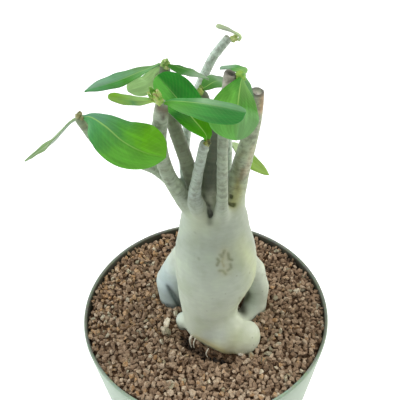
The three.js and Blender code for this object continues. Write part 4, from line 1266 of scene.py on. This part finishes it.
def make_leaf(name, form, seed):
    looks = ("colours", "painted_light_half", "roughness")
    shape = {key: value for key, value in form.items() if key not in looks}
    vertices, faces, sides, along, across = blade(**shape, rows=44, columns=22, seed=seed)
    *one_half, underside = form["colours"]
    halves = one_half, form.get("painted_light_half", one_half)
    above = leaf_skin(f"{name}_upper_cuticle", halves, PALE_RIB, form["roughness"], 0.8)
    below = leaf_skin(f"{name}_lower_cuticle", [[underside] * 3] * 2, PALE_RIB_BELOW, 0.5, 0.5)
    leaf = mesh_piece(f"blade_{name}", vertices, faces.tolist(), [above, below])
    leaf.data.polygons.foreach_set("material_index", sides)
    store_uv(leaf, along, across)
    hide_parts(name)


for number, (leaf_name, leaf_form) in enumerate(LEAVES.items()):
    make_leaf(leaf_name, leaf_form, seed=40 + number)


# Shoots. At each growing tip a whorl of leaves has just begun to open: a short fleshy bud with narrow
# folded leaflets round it, each set a golden angle further round than the last.

GOLDEN_ANGLE = math.radians(137.5)
SHOOTS = {  # each bud's x, y, z and radius, and how many leaflets it has, how long and how far apart
    "shoot_far_left": dict(
        chain=[[-53.4, -8, 257.2, 1.5], [-53.2, -8.2, 258.6, 1.4], [-52.6, -8.2, 260, 0.8]],
        leaflets=4, length=2.2, spread=0.5, colours=("#5d5a30", "#8a8c5c", "#aaa27c"),
    ),
    "shoot_left": dict(
        chain=[[-16.2, -16, 268, 2], [-17.4, -16.6, 271, 1.8], [-18.8, -17, 274.4, 0.8]],
        leaflets=6, length=6, spread=0.24, colours=("#5f9a35", "#8fb650", "#b6b878"),
    ),
    "shoot_mid_left": dict(
        chain=[[-16.6, 13.6, 270.4, 1.7], [-15, 13.6, 271.2, 2.1], [-12.6, 13, 271.6, 1.3]],
        leaflets=6, length=2, spread=0.6, colours=("#5c7f33", "#85a850", "#b0b87c"),
    ),
    "shoot_short": dict(
        chain=[[1.9, -20.2, 250.3, 1.3], [3, -20.8, 250.7, 1.1], [4.6, -21.2, 250.5, 0.6]],
        leaflets=3, length=1.7, spread=0.25, colours=("#3f4220", "#6f7534", "#b9bd6a"),
    ),
    "shoot_centre": dict(
        chain=[[1.8, 4, 261, 1.6], [0.6, 4, 262.2, 1.5], [-0.4, 4, 263.6, 0.8]],
        leaflets=5, length=2.6, spread=0.35, colours=("#5c7f32", "#7ea046", "#a8ad5c"),
    ),
    "shoot_front": dict(
        chain=[[15, -8.5, 275, 1.6], [18, -7.8, 275.6, 2.1], [19.6, -6.8, 274.4, 1.4]],
        leaflets=5, length=3, spread=0.3, colours=("#4f8a2e", "#74a83a", "#8fb84c"),
    ),
    "shoot_twig": dict(
        chain=[[15.4, 27, 277, 1.1], [17.4, 27, 276.8, 1.1], [19.4, 26.6, 276, 0.8]],
        leaflets=3, length=2.2, spread=0.35, colours=("#93a85c", "#b6c878", "#d4dca0"),
    ),
}


def young_tissue(name, colours):
    """Soft new leaf tissue: yellow-green, thinly waxed and a little translucent."""
    material, output = new_material(f"{name}_young_tissue")
    place = add_node(material, "TexCoord").outputs["Object"]
    # Patches 2.4 mm across, where the leaflets have opened by different amounts
    patches = add_node(material, "TexNoise", {"Vector": place, "Scale": 420, "Detail": 2})
    tone = add_node(material, "ValToRGB", {"Fac": patches}, stops=list(zip((0.35, 0.5, 0.68), colours)))
    bump = add_node(material, "Bump", {"Height": patches, "Strength": 0.3, "Distance": 0.0004})
    tissue = add_node(material, "BsdfPrincipled", {
        "Base Color": tone, "Roughness": 0.45, "IOR": 1.42, "Subsurface Weight": 0.15,
        "Subsurface Scale": 0.001, "Normal": bump,
    })
    return finish_surface(material, output, tissue)


def make_shoot(name, chain, leaflets, length, spread, colours, seed):
    draw = np.random.default_rng(seed)
    rows = curve_through(chain, 0.35)
    axis = rows[-1, :3] - rows[0, :3]
    axis /= np.linalg.norm(axis)
    side = np.cross(axis, [0.2, 0.5, 0.8])
    side /= np.linalg.norm(side)
    other = np.cross(axis, side)
    t = np.linspace(0, 1, len(rows))
    blunt_ends = np.sqrt(np.clip(1 - (2 * t - 1) ** 6, 0.02, 1))
    bud = np.column_stack([rows[:, :3], rows[:, 3] * blunt_ends])
    vertices, faces = round_stem(bud, 14, [0.3, 0.9, 0.2])
    for i in range(leaflets):
        turn = i * GOLDEN_ANGLE + draw.uniform(-0.3, 0.3)
        out = math.cos(turn) * side + math.sin(turn) * other
        foot = rows[int((0.1 + 0.5 * i / leaflets) * (len(rows) - 1))]
        reach = length * draw.uniform(0.8, 1.05)
        base = foot[:3] + out * foot[3] * 0.7
        middle = base + reach * 0.55 * (axis + out * spread)
        end = base + reach * (axis + out * spread * 0.5)
        leaflet, quads, *_ = blade(
            [base, middle, end], half_width=1.2, widest=0.5, blunt=0.7, lean=0,
            face=axis * spread - out, rows=10, columns=6, seed=seed + i,
        )
        faces += (quads + len(vertices)).tolist()
        vertices = np.vstack([vertices, leaflet])
    whorl = mesh_piece(f"whorl_{name}", vertices, faces, [young_tissue(name, colours)])
    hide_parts(name)


for number, (shoot_name, shoot_form) in enumerate(SHOOTS.items()):
    make_shoot(shoot_name, **shoot_form, seed=70 + 10 * number)


# Studio. A white paper sweep as the floor, in dim even light, with square soft boxes at the left and the
# right, overhead and in front. The camera stands in front and looks down at the plant, as a person at a
# table does. Places and sizes here are in metres.

SWEEP_HALF = 2.5
SWEEP_DROP = 0.0003  # a hair under the pot's foot
ROOM_LIGHT = 0.16
SOFT_BOXES = {  # where each stands, the height that it aims at over the pot's foot, its side, watts and tone
    "left_box": ((-0.85, 0.2, 0.5), 0.17, 1, 9, (0.93, 0.98, 1)),
    "right_box": ((0.85, 0.25, 0.5), 0.17, 1, 8.5, (1, 0.98, 0.92)),
    "top_box": ((-0.05, -0.05, 1.1), 0.12, 1.5, 8, (1, 1, 1)),
    "front_box": ((0, -1.1, 0.2), 0.14, 0.9, 2.5, (1, 1, 1)),
}
CAMERA_PLACE = (-0.0011, -0.2234, 0.3893)
CAMERA_PITCH = 40.18  # degrees down
CAMERA_ROLL = -1.92  # degrees
LENS = 50.4  # millimetres, on a sensor 36 mm wide


def paper_sweep():
    """Matt white paper with a barely visible fibre. Its faint glow makes it pure white round the pot."""
    material, output = new_material("paper_sweep")
    place = add_node(material, "TexCoord").outputs["Object"]
    # Fibres some 3 mm long
    fibre = add_node(material, "TexNoise", {"Vector": place, "Scale": 300, "Detail": 2})
    tone = add_node(material, "ValToRGB", {"Fac": fibre}, stops=[(0.3, "#f9f9f9"), (0.7, "#fdfdfd")])
    paper = add_node(material, "BsdfPrincipled", {
        "Base Color": tone, "Roughness": 0.9, "Emission Color": linear("#ffffff"), "Emission Strength": 0.4,
    })
    return finish_surface(material, output, paper)


def make_floor():
    mesh = bpy.data.meshes.new("paper_floor")
    corners = [(x * SWEEP_HALF, y * SWEEP_HALF, 0) for x, y in ((-1, -1), (1, -1), (1, 1), (-1, 1))]
    mesh.from_pydata(corners, [], [(0, 1, 2, 3)])
    mesh.materials.append(paper_sweep())
    floor = bpy.data.objects.new("paper_floor", mesh)
    floor.location.z = -SWEEP_DROP
    bpy.context.scene.collection.objects.link(floor)


def make_lights():
    world = bpy.data.worlds.new("even_light")
    world.use_nodes = True
    room = world.node_tree.nodes["Background"].inputs
    room["Color"].default_value = (1, 1, 1, 1)
    room["Strength"].default_value = ROOM_LIGHT
    bpy.context.scene.world = world
    for name, (place, aim_height, side, watts, tone) in SOFT_BOXES.items():
        lamp = bpy.data.lights.new(name, "AREA")
        lamp.size = side
        lamp.energy = watts
        lamp.color = tone
        box = bpy.data.objects.new(name, lamp)
        box.location = place
        way = Vector((0, 0, aim_height)) - Vector(place)
        box.rotation_euler = way.to_track_quat("-Z", "Y").to_euler()
        bpy.context.scene.collection.objects.link(box)


def make_camera():
    lens = bpy.data.cameras.new("camera")
    lens.lens = LENS
    lens.sensor_width = 36
    lens.clip_start = 0.01
    camera = bpy.data.objects.new("camera", lens)
    camera.matrix_world = (
        Matrix.Translation(CAMERA_PLACE)
        @ Matrix.Rotation(math.radians(90 - CAMERA_PITCH), 4, "X")
        @ Matrix.Rotation(math.radians(CAMERA_ROLL), 4, "Z")
    )
    bpy.context.scene.collection.objects.link(camera)
    bpy.context.scene.camera = camera


make_floor()
make_lights()
make_camera()
bpy.context.scene.view_settings.view_transform = "Standard"
